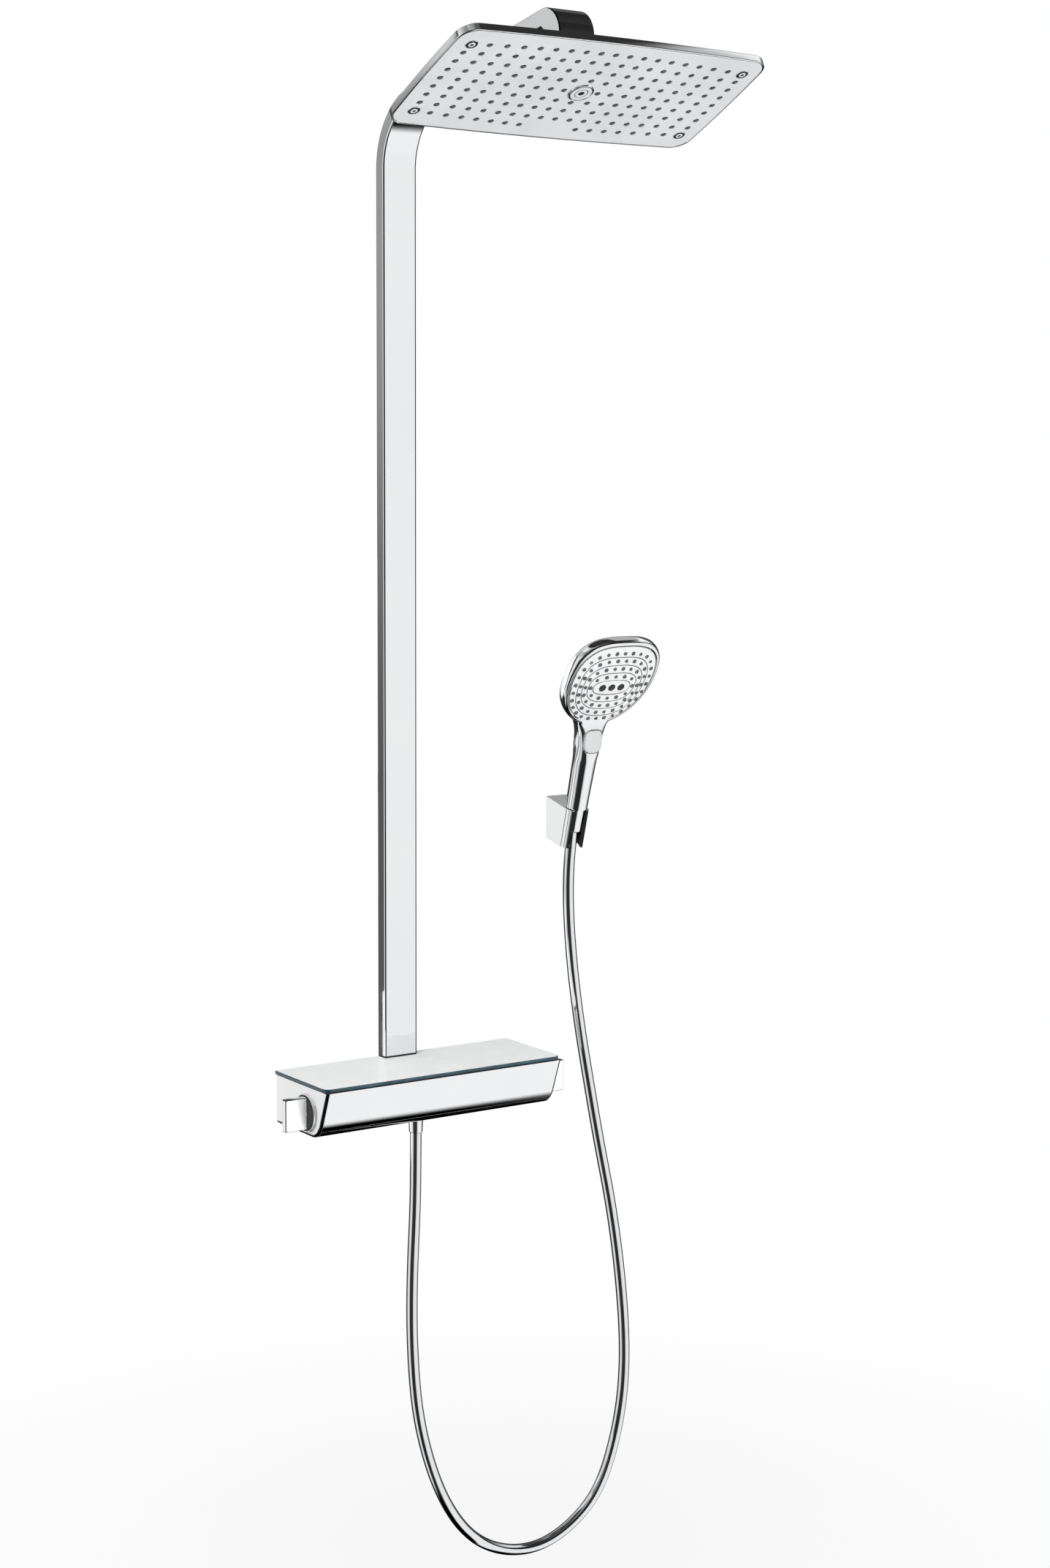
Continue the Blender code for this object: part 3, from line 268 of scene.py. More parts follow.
def make_surroundings():
    """A round pale floor that fades into an even backdrop, and the dome round them."""
    even = bpy.data.materials.new("backdrop")
    tree = emptied(even)
    glow = add_node(tree, "ShaderNodeEmission", {0: BACKDROP, 1: 1.0})
    add_node(tree, "ShaderNodeOutputMaterial", {0: glow.outputs[0]})

    pale = bpy.data.materials.new("pale_floor")
    tree = emptied(pale)
    place = add_node(tree, "ShaderNodeTexCoord").outputs["Object"]
    away = add_node(tree, "ShaderNodeVectorMath", {0: place}, operation="LENGTH").outputs["Value"]
    fade = add_node(tree, "ShaderNodeMapRange", {0: away, 1: FADE_START, 2: FADE_END, 3: FADE_LEAST, 4: 1.0},
                    interpolation_type="SMOOTHSTEP").outputs[0]
    matt = add_node(tree, "ShaderNodeBsdfDiffuse", {0: FLOOR_TONE})
    glow = add_node(tree, "ShaderNodeEmission", {0: BACKDROP, 1: 1.0})
    mix = add_node(tree, "ShaderNodeMixShader", {0: fade, 1: matt.outputs[0], 2: glow.outputs[0]})
    add_node(tree, "ShaderNodeOutputMaterial", {0: mix.outputs[0]})

    disc = bmesh.new()
    bmesh.ops.create_circle(disc, cap_ends=True, segments=96, radius=FLOOR_R)
    floor = store("floor", disc, [pale])
    floor.location = (0.1, -0.1, CAD_BOX[0].z - FLOOR_GAP)
    ball = bmesh.new()
    bmesh.ops.create_uvsphere(ball, u_segments=48, v_segments=24, radius=DOME_R)
    bmesh.ops.reverse_faces(ball, faces=ball.faces)
    dome_round = store("backdrop_dome", ball, [even])
    for thing in (floor, dome_round):
        thing.visible_glossy = False
        thing.visible_diffuse = False
        thing.visible_shadow = False
        thing.visible_transmission = True


# ---- mesh helpers -------------------------------------------------------------------
def store(name, bm, materials, smooth=True):
    """Make an object of bm, whose points are in metres."""
    mesh = bpy.data.meshes.new(name)
    bm.to_mesh(mesh)
    bm.free()
    if smooth:
        mesh.shade_smooth()
        mesh.set_sharp_from_angle(angle=SHARP_ANGLE)
    for mat in materials:
        mesh.materials.append(mat)
    made = bpy.data.objects.new(name, mesh)
    bpy.context.scene.collection.objects.link(made)
    return made


def piece(name, bm, materials, body=None, replaces=()):
    """Close bm (millimetres) into a finished object that rides on a body."""
    bmesh.ops.remove_doubles(bm, verts=bm.verts, dist=1e-4)
    bmesh.ops.recalc_face_normals(bm, faces=bm.faces)
    bmesh.ops.scale(bm, vec=(MM, MM, MM), verts=bm.verts)
    made = store(name, bm, materials)
    settle_normals(made)
    if body:
        finish_piece(made, body, replaces)
    return made


def keep_result(target):
    """Replace target's mesh by what its modifiers make of it."""
    bpy.context.view_layer.update()
    graph = bpy.context.evaluated_depsgraph_get()
    mesh = bpy.data.meshes.new_from_object(target.evaluated_get(graph))
    target.modifiers.clear()
    target.data = mesh


def settle_normals(target):
    """Shade smoothly, with each large face keeping its own direction so that it looks flat."""
    target.data.shade_smooth()
    target.data.set_sharp_from_angle(angle=SHARP_ANGLE)
    step = target.modifiers.new("weigh", "WEIGHTED_NORMAL")
    step.keep_sharp = True
    keep_result(target)


def finish_piece(made, body, replaces=()):
    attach(made, body)
    if replaces:
        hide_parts(*replaces)


def add_loft(bm, rings, closed=False, material=0):
    """Skin equal rings of points; closed joins the last ring to the first."""
    rows = [[bm.verts.new(p) for p in row] for row in rings]
    pairs = list(zip(rows, rows[1:])) + ([(rows[-1], rows[0])] if closed else [])
    count = len(rows[0])
    for low, high in pairs:
        for i in range(count):
            j = (i + 1) % count
            bm.faces.new((low[i], low[j], high[j], high[i])).material_index = material
    if not closed:
        bm.faces.new(list(reversed(rows[0]))).material_index = material
        bm.faces.new(rows[-1]).material_index = material


def ring(centre, side, up, radius, count):
    return [centre + side * (radius * math.cos(a)) + up * (radius * math.sin(a))
            for a in (2 * math.pi * i / count for i in range(count))]


def add_turned(bm, base, axis, profile, count=64, hollow=False, material=0):
    """Turn (radius, height) pairs about axis; hollow closes the profile into a ring."""
    axis = axis.normalized()
    side = X_AXIS if abs(axis.x) < 0.9 else Y_AXIS
    side = (side - axis * side.dot(axis)).normalized()
    up = axis.cross(side)
    add_loft(bm, [ring(base + axis * h, side, up, r, count) for r, h in profile], closed=hollow,
             material=material)


def turned_piece(name, base, axis, profile, material, body, count=64):
    """A hollow turned part that stands for one node, with its corners rounded a little."""
    bm = bmesh.new()
    add_turned(bm, base, axis, rounded(profile, 0.35), count, hollow=True)
    return piece(name + "_look", bm, [material], body, [name])


def rounded(points, radius, closed=True, steps=3):
    """Cut each corner of a 2-D outline with a small arc-like curve."""
    made = []
    last = len(points)
    for k in range(last):
        here = Vector(points[k])
        if not closed and k in (0, last - 1):
            made.append(tuple(here))
            continue
        before, after = Vector(points[k - 1]), Vector(points[(k + 1) % last])
        room = min((before - here).length, (after - here).length) * 0.45
        reach = min(radius, room)
        start = here + (before - here).normalized() * reach
        end = here + (after - here).normalized() * reach
        for i in range(steps + 1):
            t = i / steps
            point = start * (1 - t) ** 2 + here * (2 * t * (1 - t)) + end * t ** 2
            made.append(tuple(point))
    return made


def arc(centre, radius, start, end, steps):
    return [(centre[0] + radius * math.cos(a), centre[1] + radius * math.sin(a))
            for a in (math.radians(start + (end - start) * i / steps) for i in range(steps + 1))]


def rounded_box(half_a, half_b, radius, steps=6):
    points = []
    for k, (sa, sb) in enumerate(((1, 1), (-1, 1), (-1, -1), (1, -1))):
        centre = (sa * (half_a - radius), sb * (half_b - radius))
        points += arc(centre, radius, 90 * k, 90 * (k + 1), steps)
    return points


def soft_square(half_w, half_h, power, count=96):
    """Points of |x/w|^p + |y/h|^p = 1, evenly spread in angle."""
    points = []
    for i in range(count):
        angle = 2 * math.pi * (i + 0.5) / count
        c, s = math.cos(angle), math.sin(angle)
        reach = (abs(c / half_w) ** power + abs(s / half_h) ** power) ** (-1 / power)
        points.append((reach * c, reach * s))
    return points


def spread_along(points, count):
    """count points at even distances along a closed outline."""
    loop = [Vector(p) for p in points] + [Vector(points[0])]
    lengths = [(b - a).length for a, b in zip(loop, loop[1:])]
    step, found, walked = sum(lengths) / count, [], 0.0
    for a, b, length in zip(loop, loop[1:], lengths):
        while len(found) < count and walked + length > len(found) * step:
            found.append(a.lerp(b, (len(found) * step - walked) / length))
        walked += length
    return found


def bevel(bm, edges, offset, segments):
    bmesh.ops.bevel(bm, geom=edges, offset=offset, segments=segments, profile=0.5, affect="EDGES",
                    clamp_overlap=True)


def band(inner, outer, low, high):
    """Profile of a flat ring between two radii and two heights."""
    return [(inner, low), (outer, low), (outer, high), (inner, high)]


def paint(target, material, wanted):
    """Give one of target's materials to the faces that pass a test."""
    for face in target.data.polygons:
        if wanted(face):
            face.material_index = material


def cut_out(target, cutter_mesh):
    """Cut a shape in millimetres out of target and keep the result as its mesh."""
    bmesh.ops.recalc_face_normals(cutter_mesh, faces=cutter_mesh.faces)
    bmesh.ops.scale(cutter_mesh, vec=(MM, MM, MM), verts=cutter_mesh.verts)
    cutter = store("cutter", cutter_mesh, [], smooth=False)
    step = target.modifiers.new("cut", "BOOLEAN")
    step.solver = "EXACT"
    step.object = cutter
    keep_result(target)
    bpy.data.objects.remove(cutter)
    settle_normals(target)


def drill(target, start, axis, radius, depth):
    """Cut a round hole that begins at start."""
    cutter = bmesh.new()
    add_turned(cutter, start, axis, [(radius, 0), (radius, depth)], 48)
    cut_out(target, cutter)


def carve(target, rings):
    """Cut the solid through the given rings out of target."""
    cutter = bmesh.new()
    add_loft(cutter, rings)
    cut_out(target, cutter)


# ---- materials ----------------------------------------------------------------------
GRAIN_DEPTH, COAT_ROUGHNESS = 0.0002, 0.08


def noise(tree, scale, detail=3.0, stretch=(1, 1, 1)):
    place = add_node(tree, "ShaderNodeTexCoord").outputs["Object"]
    mapped = add_node(tree, "ShaderNodeMapping", {0: place, 3: stretch}).outputs[0]
    return add_node(tree, "ShaderNodeTexNoise", {0: mapped, 2: scale, 3: detail}).outputs[0]


def surface(name, low, high, rough, tone, grain, relief=0.0, sockets=()):
    """One look: a slow change of tone, a fine change of roughness and, with relief, a raised grain.

    tone and grain are the (scale, detail, stretch) of their patterns.
    """
    mat = bpy.data.materials.new(name)
    mat.use_nodes = True
    tree = mat.node_tree
    shader = tree.nodes["Principled BSDF"]
    colour = add_node(tree, "ShaderNodeValToRGB", {0: noise(tree, *tone)})
    set_ramp(colour.color_ramp, [(0.3, low), (0.7, high)])
    fine = noise(tree, *grain)
    spread = add_node(tree, "ShaderNodeMapRange", {0: fine, 1: 0.3, 2: 0.7, 3: rough[0], 4: rough[1]})
    tree.links.new(colour.outputs[0], shader.inputs["Base Color"])
    tree.links.new(spread.outputs[0], shader.inputs["Roughness"])
    if relief:
        raised = add_node(tree, "ShaderNodeBump", {0: relief, 1: GRAIN_DEPTH, "Height": fine})
        tree.links.new(raised.outputs[0], shader.inputs["Normal"])
    for socket, value in dict(sockets).items():
        shader.inputs[socket].default_value = value
    return mat


def metal(name, low, high, rough, grain=60.0, stretch=(1, 1, 1), metallic=1.0):
    """Polished or satin metal."""
    return surface(name, low, high, rough, (9.0, 2.0), (grain, 4.0, stretch), sockets={"Metallic": metallic})


def plastic(name, low, high, rough, scale, relief, coat=0.0):
    """Moulded plastic or rubber: a faint mottle and a fine moulded grain."""
    return surface(name, low, high, rough, (scale * 0.1,), (scale, 4.0), relief,
                   {"Coat Weight": coat, "Coat Roughness": COAT_ROUGHNESS})


def make_materials():
    braid = (240.0, 3.0, (1, 1, 0.15))
    return {
        "chrome": metal("chrome", (0.93, 0.94, 0.95), (0.96, 0.965, 0.97), (0.025, 0.05)),
        # A brighter, duller, half-metal copy of chrome: a painted highlight on the end caps' outer faces and
        # on the grips' front and end faces.
        "painted_highlight_chrome": metal("painted_highlight_chrome", (0.9, 0.905, 0.91), (0.95, 0.95, 0.955), (0.12, 0.2),
                               metallic=0.45),
        # A near-black copy of chrome: a painted dark reflection on the rolled edges, the column's and arm's
        # corners and the handles' sides and discs.
        "edge": metal("edge_chrome", (0.012, 0.012, 0.013), (0.02, 0.02, 0.022), (0.03, 0.06)),
        # Satin chrome of the select button; on the holder's top faces the same grey stands as a painted
        # sheen.
        "button": metal("button_chrome_and_top_sheen", (0.6, 0.605, 0.61), (0.66, 0.665, 0.67), (0.3, 0.4), metallic=0.5),
        "brass": metal("brass", (0.70, 0.52, 0.22), (0.82, 0.64, 0.32), (0.22, 0.38), 90.0),
        "steel": metal("steel", (0.52, 0.53, 0.54), (0.66, 0.66, 0.67), (0.22, 0.4), 120.0, (1, 12, 1)),
        "white": plastic("white_plastic", (0.6, 0.605, 0.61), (0.65, 0.65, 0.65), (0.2, 0.3), 420.0, 0.05,
                         0.4),
        "silicone": plastic("silicone", (0.075, 0.08, 0.085), (0.12, 0.125, 0.13), (0.4, 0.6), 700.0, 0.2),
        # Dark grey nubs: partly the silicone's own colour, partly painted shade down in the plate's holes.
        "nub": plastic("nozzle_nub_and_hole_shade", (0.1, 0.105, 0.11), (0.16, 0.165, 0.17), (0.35, 0.5), 700.0, 0.15),
        "black": plastic("black_plastic", (0.012, 0.012, 0.013), (0.03, 0.03, 0.032), (0.3, 0.5), 300.0,
                         0.15),
        "rubber": plastic("rubber", (0.012, 0.012, 0.012), (0.03, 0.03, 0.03), (0.6, 0.85), 500.0, 0.3),
        # Dark grey for the faces down in the spray face's grooves: painted shade in the grooves.
        "groove": plastic("groove", (0.12, 0.12, 0.125), (0.18, 0.18, 0.185), (0.4, 0.6), 420.0, 0.05),
        # Blasted metal: bright, soft and very finely grained.
        "satin": surface("satin_plate", (0.74, 0.75, 0.76), (0.82, 0.83, 0.84), (0.34, 0.5), (14.0, 5.0),
                         (1500.0, 3.0), 0.12, {"Metallic": 0.2}),
        # Silver braid effect under a clear smooth sleeve.
        "hose": surface("hose_sleeve", (0.84, 0.85, 0.87), (0.9, 0.91, 0.92), (0.05, 0.1), braid, braid,
                        sockets={"Metallic": 1.0, "Coat Weight": 0.6, "Coat Roughness": 0.05}),
        # The shelf's glass over its white underside, and its ground edge.
        "glass_face": surface("shelf_glass_face", (0.87, 0.885, 0.885), (0.885, 0.9, 0.9), (0.2, 0.3), (5.0,),
                              (30.0,), sockets={"IOR": 1.5, "Specular IOR Level": 0.1}),
        "glass_edge": surface("shelf_glass_edge", (0.015, 0.04, 0.055), (0.04, 0.085, 0.11), (0.1, 0.25),
                              (40.0,), (200.0,), sockets={"IOR": 1.5}),
    }


# ---- mixer --------------------------------------------------------------------------
CASE_BOTTOM, CASE_BACK, CASE_WALL = -26.6, -4.4, 2.4
LIP_Y, SLOPE_END, FLOOR_START_Y, TOE_STEPS = -114.0, (-100.9, -7.5), -78.0, 24
CAP_ROLL, CAP_STEPS, CAP_LEDGE, CAP_LID = 4.4, 8, 0.06, 0.06
INLET_HOLE_R, OUTLET_HOLE_R = 13.5, 9.0
SHELF_CORNER, SHELF_BEVEL = 8.0, 0.45
# Turned profiles as (radius, height); the handles' heights are counted from the end cap.
OUTLET_PROFILE = [(8.4, 0), (8.4, 11.0), (6.2, 11.0), (6.2, 22.0), (4.0, 22.0), (4.0, 0)]
RING_PROFILE = [(20.6, 0), (20.6, 3.8), (19.5, 3.8), (19.3, 0.6), (5.0, 0.6), (5.0, 0)]
DISC_PROFILE = [(4.6, 0.9), (18.9, 0.9), (18.9, 3.9), (4.6, 3.9)]
STEM_PROFILE = [(4.2, 3.0), (4.2, -18.5)]
# Below this height over the end cap a handle is the disc, painted near-black as a painted dark reflection.
DARK_BELOW = 4.1
# The grip's flat section, and how far it is drawn in at each height: (draw, height).
BLADE_HALF_T, BLADE_HALF_W, BLADE_CORNER = 4.2, 17.4, 1.2
BLADE_TIP = [(0.0, 3.2), (0.0, 27.4), (0.15, 28.0), (0.5, 28.5), (1.0, 28.7)]


def case_outline(inset, top, lid=None):
    """Side outline (y, z) of the mixer: flat back, sloping front that rolls under."""
    lid = inset if lid is None else lid
    start = Vector((SLOPE_END[0] + inset, SLOPE_END[1]))
    end = Vector((FLOOR_START_Y, CASE_BOTTOM + inset))
    pull_start, pull_end = start + Vector((3.9, -10.2)), end + Vector((-12.5, 0))
    toe = []
    for i in range(TOE_STEPS + 1):
        t = i / TOE_STEPS
        toe.append(tuple(end * (1 - t) ** 3 + pull_end * (3 * t * (1 - t) ** 2)
                         + pull_start * (3 * t * t * (1 - t)) + start * t ** 3))
    corners = [(CASE_BACK - lid, top - lid), (CASE_BACK - lid, CASE_BOTTOM + inset)]
    return corners + toe + [(LIP_Y + inset, top - lid)]


def make_end_cap(mats, side, inner_x, outer_x, top):
    """End cap whose front and underside roll over to the casing; the roll is painted near-black as a painted
    dark reflection and the flat outer face is a painted highlight.
    """
    if side == "left":
        inner_x, outer_x = outer_x, inner_x
    rows = [[Vector((inner_x, y, z)) for y, z in case_outline(0, top)]]
    for k in range(CAP_STEPS + 1):
        angle = math.pi / 2 * k / CAP_STEPS
        inset = CAP_ROLL * (1 - math.cos(angle))
        x = inner_x + (outer_x - inner_x) * (CAP_LEDGE + (1 - CAP_LEDGE) * math.sin(angle))
        rows.append([Vector((x, y, z)) for y, z in case_outline(inset, top, inset * CAP_LID)])
    bm = bmesh.new()
    add_loft(bm, rows)
    cap = piece("end_cap_%s_look" % side, bm, [mats["chrome"], mats["edge"], mats["painted_highlight_chrome"]],
                "wall_set", ["end_cap_" + side])
    # The roll gets the painted dark reflection, the outer face the painted highlight.
    paint(cap, 1, lambda face: (face.normal.y < -0.05 or face.normal.z < -0.05)
          and (abs(face.normal.x) > 0.02 or side == "right"))
    paint(cap, 2, lambda face: abs(face.normal.x) > 0.97)


def make_mixer(mats):
    low, high = node_box("mixer_casing")
    outer, inner = case_outline(0.0, high.z), case_outline(CASE_WALL, high.z)
    bm = bmesh.new()
    add_loft(bm, [[Vector((x, y, z)) for y, z in line] for x, line in
                  ((low.x, outer), (high.x, outer), (high.x, inner), (low.x, inner))], closed=True)
    case = piece("mixer_casing_look", bm, [mats["chrome"]], "wall_set", ["mixer_casing"])
    for name in ("inlet_hot", "inlet_cold"):
        middle = node_middle(name)
        drill(case, Vector((middle.x, 6, middle.z)), -Y_AXIS, INLET_HOLE_R, 14)
    middle = node_middle("hose_outlet")
    drill(case, Vector((middle.x, middle.y, CASE_BOTTOM - 4)), Z_AXIS, OUTLET_HOLE_R, 9)
    for side in ("left", "right"):
        low, high = node_box("end_cap_" + side)
        make_end_cap(mats, side, low.x, high.x, high.z)
    make_shelf(mats)
    make_handle(mats, -1, "temperature")
    make_handle(mats, 1, "diverter")
    middle.z = node_box("hose_outlet")[1].z
    turned_piece("hose_outlet", middle, -Z_AXIS, OUTLET_PROFILE, mats["brass"], "wall_set")


def make_shelf(mats):
    """The glass shelf with its rounded front corners and its dark ground edge."""
    low, high = node_box("glass_shelf")
    outline = [(high.x, high.y), (low.x, high.y)]
    outline += arc((low.x + SHELF_CORNER, low.y + SHELF_CORNER), SHELF_CORNER, 180, 270, 12)
    outline += arc((high.x - SHELF_CORNER, low.y + SHELF_CORNER), SHELF_CORNER, 270, 360, 12)
    bm = bmesh.new()
    add_loft(bm, [[Vector((x, y, z)) for x, y in outline] for z in (low.z, high.z)])
    bmesh.ops.recalc_face_normals(bm, faces=bm.faces)
    bevel(bm, [e for e in bm.edges if any(len(f.verts) > 4 for f in e.link_faces)], SHELF_BEVEL, 3)
    shelf = piece("glass_shelf_look", bm, [mats["glass_face"], mats["glass_edge"]], "wall_set",
                  ["glass_shelf"])
    paint(shelf, 1, lambda face: abs(face.normal.z) < 0.9)


def make_handle(mats, side, name):
    """A round ring on the end cap and a flat grip that stands out of it."""
    out = X_AXIS * side
    low, high = node_box(name + "_ring")
    base = node_middle(name + "_ring")
    base.x = low.x if side > 0 else high.x
    rim = turned_piece(name + "_ring", base, out, RING_PROFILE, mats["chrome"], "wall_set", 96)
    bm = bmesh.new()
    add_turned(bm, base, out, rounded(DISC_PROFILE, 0.5), 96, hollow=True)
    add_turned(bm, base, out, STEM_PROFILE, 32)
    blade = rounded_box(BLADE_HALF_T, BLADE_HALF_W, BLADE_CORNER, 4)
    add_loft(bm, [[base + out * h + Vector((0, y - math.copysign(drop, y), z - math.copysign(drop, z)))
                   for y, z in blade] for drop, h in BLADE_TIP])
    handle = piece(name + "_handle_look", bm, [mats["chrome"], mats["edge"], mats["painted_highlight_chrome"]],
                   name + "_handle", [name + "_handle"])
    # The grip's sides and the disc get the painted dark reflection, the grip's front and end faces the
    # painted highlight.
    paint(handle, 1, lambda face: abs(face.normal.z) < 0.95)
    paint(handle, 2, lambda face: face.normal.y < -0.95 or face.normal.dot(out) > 0.95)
    paint(handle, 1, lambda face: (face.center / MM - base).dot(out) < DARK_BELOW)
    for part in (handle, rim):
        part.visible_glossy = False


# ---- column and arm -----------------------------------------------------------------
COL_W, COL_T, COL_WALL, COL_EDGE = 41.4, 16.2, 1.8, 2.2
COL_BACK, FOOT_LIFT, SEAL_INSET = -1.5, 0.8, 0.15
BEND_Z, BEND_R_OUT, BEND_STEPS, ARM_RISE = 993.0, 79.3, 48, math.radians(10.4)
ARM_JOIN, ARM_TIP, ARM_NOSE_R, ARM_UNDER_Z, ARM_BEVEL = -238.0, -343.5, 27.0, 1084.0, 1.3


def column_path(foot):
    """Centre line (y, z, angle of its normal): up, round the bend, out along the arm."""
    radius, turn = BEND_R_OUT - COL_T / 2, math.pi / 2 - ARM_RISE
    path = [(COL_BACK - COL_T / 2, foot, 0.0)]
    for i in range(BEND_STEPS + 1):
        angle = turn * i / BEND_STEPS
        y = COL_BACK - BEND_R_OUT + radius * math.cos(angle)
        z = BEND_Z + radius * math.sin(angle)
        path.append((y, z, angle))
    path.append((ARM_JOIN, z + (y - ARM_JOIN) * math.tan(ARM_RISE), turn))
    return path


def arm_top_z(y):
    """Height of the arm's upper face."""
    turn = math.pi / 2 - ARM_RISE
    y0 = COL_BACK - BEND_R_OUT + BEND_R_OUT * math.cos(turn)
    return BEND_Z + BEND_R_OUT * math.sin(turn) + (y0 - y) * math.tan(ARM_RISE)


def make_column(mats):
    foot = node_box("column_profile")[0].z + FOOT_LIFT
    path = column_path(foot)

    def section(station, inset):
        y, z, angle = station
        thick = Vector((0, math.cos(angle), math.sin(angle)))
        outline = rounded_box(COL_W / 2 - inset, COL_T / 2 - inset, max(COL_EDGE - inset, 0.4), 6)
        return [Vector((0, y, z)) + X_AXIS * a + thick * b for a, b in outline]

    bm = bmesh.new()
    add_loft(bm, [section(s, 0) for s in path] + [section(s, COL_WALL) for s in reversed(path)], closed=True)
    column = piece("column_look", bm, [mats["chrome"], mats["edge"]], "wall_set",
                   ["column_profile"])
    paint_dark_corner_reflections(column, COL_W / 2 - COL_EDGE)
    seal = bmesh.new()
    add_loft(seal, [[Vector((a, COL_BACK - COL_T / 2 + b, z)) for a, b in
                     rounded_box(COL_W / 2 - SEAL_INSET, COL_T / 2 - SEAL_INSET, 2.0)]
                    for z in (node_box("column_foot_seal")[0].z, foot + 0.1)])
    piece("column_foot_seal_look", seal, [mats["rubber"]], "wall_set", ["column_foot_seal"])
    make_arm_end(mats, path[-1])


def paint_dark_corner_reflections(target, start):
    """Paint the dark reflection on the rounded edges: all of the right one, half of the left one."""
    def dark(face):
        x = face.center.x / MM
        right = x > start and 0.1 < face.normal.x < 0.97
        left = x < -start and 0.15 < -face.normal.x < 0.62
        return (right or left) and (face.normal.y < 0 or face.normal.z < -0.5)
    paint(target, 1, dark)


def make_arm_end(mats, seam):
    """The arm's cast end, flush with the column's arm, with a rounded nose over the ball stud."""
    y, z, turn = seam
    middle, thick = Vector((0, y, z)), Vector((0, math.cos(turn), math.sin(turn)))
    top, under = middle + thick * (COL_T / 2), middle - thick * (COL_T / 2)
    drop, nose_y = COL_T / math.cos(ARM_RISE), ARM_TIP + ARM_NOSE_R
    heel, heel_mid, heel_top = ARM_TIP + 23.0, ARM_TIP + 24.5, ARM_TIP + 32.0
    side = [(top.y, top.z)]
    side += arc((nose_y, arm_top_z(nose_y) - ARM_NOSE_R + 0.4), ARM_NOSE_R, 84, 180, 24)
    side += [(ARM_TIP, ARM_UNDER_Z), (heel, ARM_UNDER_Z), (heel_mid, arm_top_z(heel) - drop - 7.0),
             (heel_top, arm_top_z(heel_top) - drop), (under.y, under.z)]
    bm = bmesh.new()
    add_loft(bm, [[Vector((x, py, pz)) for py, pz in side] for x in (-COL_W / 2, COL_W / 2)])
    bmesh.ops.recalc_face_normals(bm, faces=bm.faces)

    def at_seam(vert):
        return any((vert.co - Vector((vert.co.x, end.y, end.z))).length < 0.01 for end in (top, under))

    rims = [e for e in bm.edges if any(len(f.verts) > 4 for f in e.link_faces)
            and not all(at_seam(v) for v in e.verts)]
    foot = [e for e in bm.edges if all(abs(v.co.z - ARM_UNDER_Z) < 0.1 for v in e.verts) and e not in rims]
    bevel(bm, rims + foot, ARM_BEVEL, 5)
    arm = piece("arm_end_look", bm, [mats["chrome"], mats["edge"]], "wall_set", ["arm_end"])
    # The arm end's side corners get the painted dark reflection.
    paint(arm, 1, lambda face: 0.1 < abs(face.normal.x) < 0.97 and face.normal.y < -0.1)


# ---- overhead head ------------------------------------------------------------------
HEAD_HALF_W, HEAD_HALF_D, HEAD_CORNER = 178.0, 81.5, 17.0
HEAD_BOW_SIDE, HEAD_BOW_FRONT = 0.012, 0.04
CORNER_STEPS, SIDE_STEPS = 12, 20
NECK_HOLE_R = 14.0
PLATE_LOW, PLATE_T, PLATE_INSET = 0.4, 1.6, 1.95
NOZZLE_HALF_W, NOZZLE_HALF_D, DISC_CLEAR = 157.0, 55.4, 50.0
NOZZLE_HOLE_R, SCREW_HOLE_R, DISC_R = 3.15, 6.1, 12.8
# (inset, height) round the shell's rim, from the plate's groove to the edge of the roof.
SHELL_RIM = [(1.8, 1.4), (1.76, 0.6), (1.55, 0.25), (1.15, 0.1), (0.75, 0.15), (0.3, 0.35), (0.07, 0.7),
             (0, 1.2), (0, 7.0), (0.1, 7.4), (0.45, 7.75), (1.1, 7.95), (3.0, 8.1)]
ROOF_START, ROOF_END, ROOF_H, NECK_FOOT_H, NECK_RISE = 4, 22, 8.1, 11.0, 3.5
ROOF_STEPS, NECK_STEPS = 4, 10
# (inset, height, neck) of the shell's inside, from the neck hole back to the groove.
SHELL_INSIDE = [(ROOF_END, 12.5, 1.0), (ROOF_END, 9.0, 0.0), (2.4, 5.8, 0.0), (2.4, 2.4, 0.0),
                (1.8, 2.3, 0.0)]
NUB_PROFILE = [(1.7, 0.05), (1.6, -1.2), (1.45, -1.9), (1.15, -2.3), (0.75, -2.4), (0.6, -1.6), (0.1, -1.6)]
# Turned rings of the plate's trim: profile, points round, and 0 chrome, 1 satin or 2 black.
# The black rings stand for painted shade: they fill the screws' sockets, the gaps round their heads and the
# disc's grooves and middle.
SCREW_RINGS = [
    (rounded([(6.0, 1.7), (6.0, 0.1), (5.8, -0.1), (5.6, 0.1), (5.6, 1.7)], 0.1), 40, 0),
    (rounded([(3.5, 1.6), (3.5, -0.2), (3.0, -0.5), (1.9, -0.5), (1.8, 0.9), (0.2, 0.9), (0.2, 1.6)],
             0.12), 40, 1),
    (band(3.3, 5.65, 0.0, 1.5), 40, 2),
    (band(0.3, 1.85, 0.3, 1.4), 24, 2),
]
DISC_RINGS = [
    (rounded([(12.0, 1.0), (12.0, -1.1), (12.3, -1.4), (DISC_R, -1.1), (DISC_R, 1.0)], 0.15), 96, 0),
    (rounded(band(3.2, 6.2, -1.3, 1.0), 0.25), 96, 1),
    (rounded(band(7.0, 10.8, -1.3, 1.0), 0.25), 96, 1),
    (band(10.7, 12.1, -0.5, 0.9), 72, 2),
    (band(6.1, 7.1, -0.9, 0.9), 72, 2),
    (band(0.3, 3.3, -0.9, 0.9), 72, 2),
]
SOCKET_FOOT, SOCKET_BORE_R, STUD_R, STUD_NECK_R = 14.8, 11.35, 9.0, 4.6


def head_point(a, b, height):
    """A point by its place across, into the depth of and above the overhead shower's plate."""
    return HEAD_CENTRE + X_AXIS * a + HEAD_DEEP * b + HEAD_UP * height


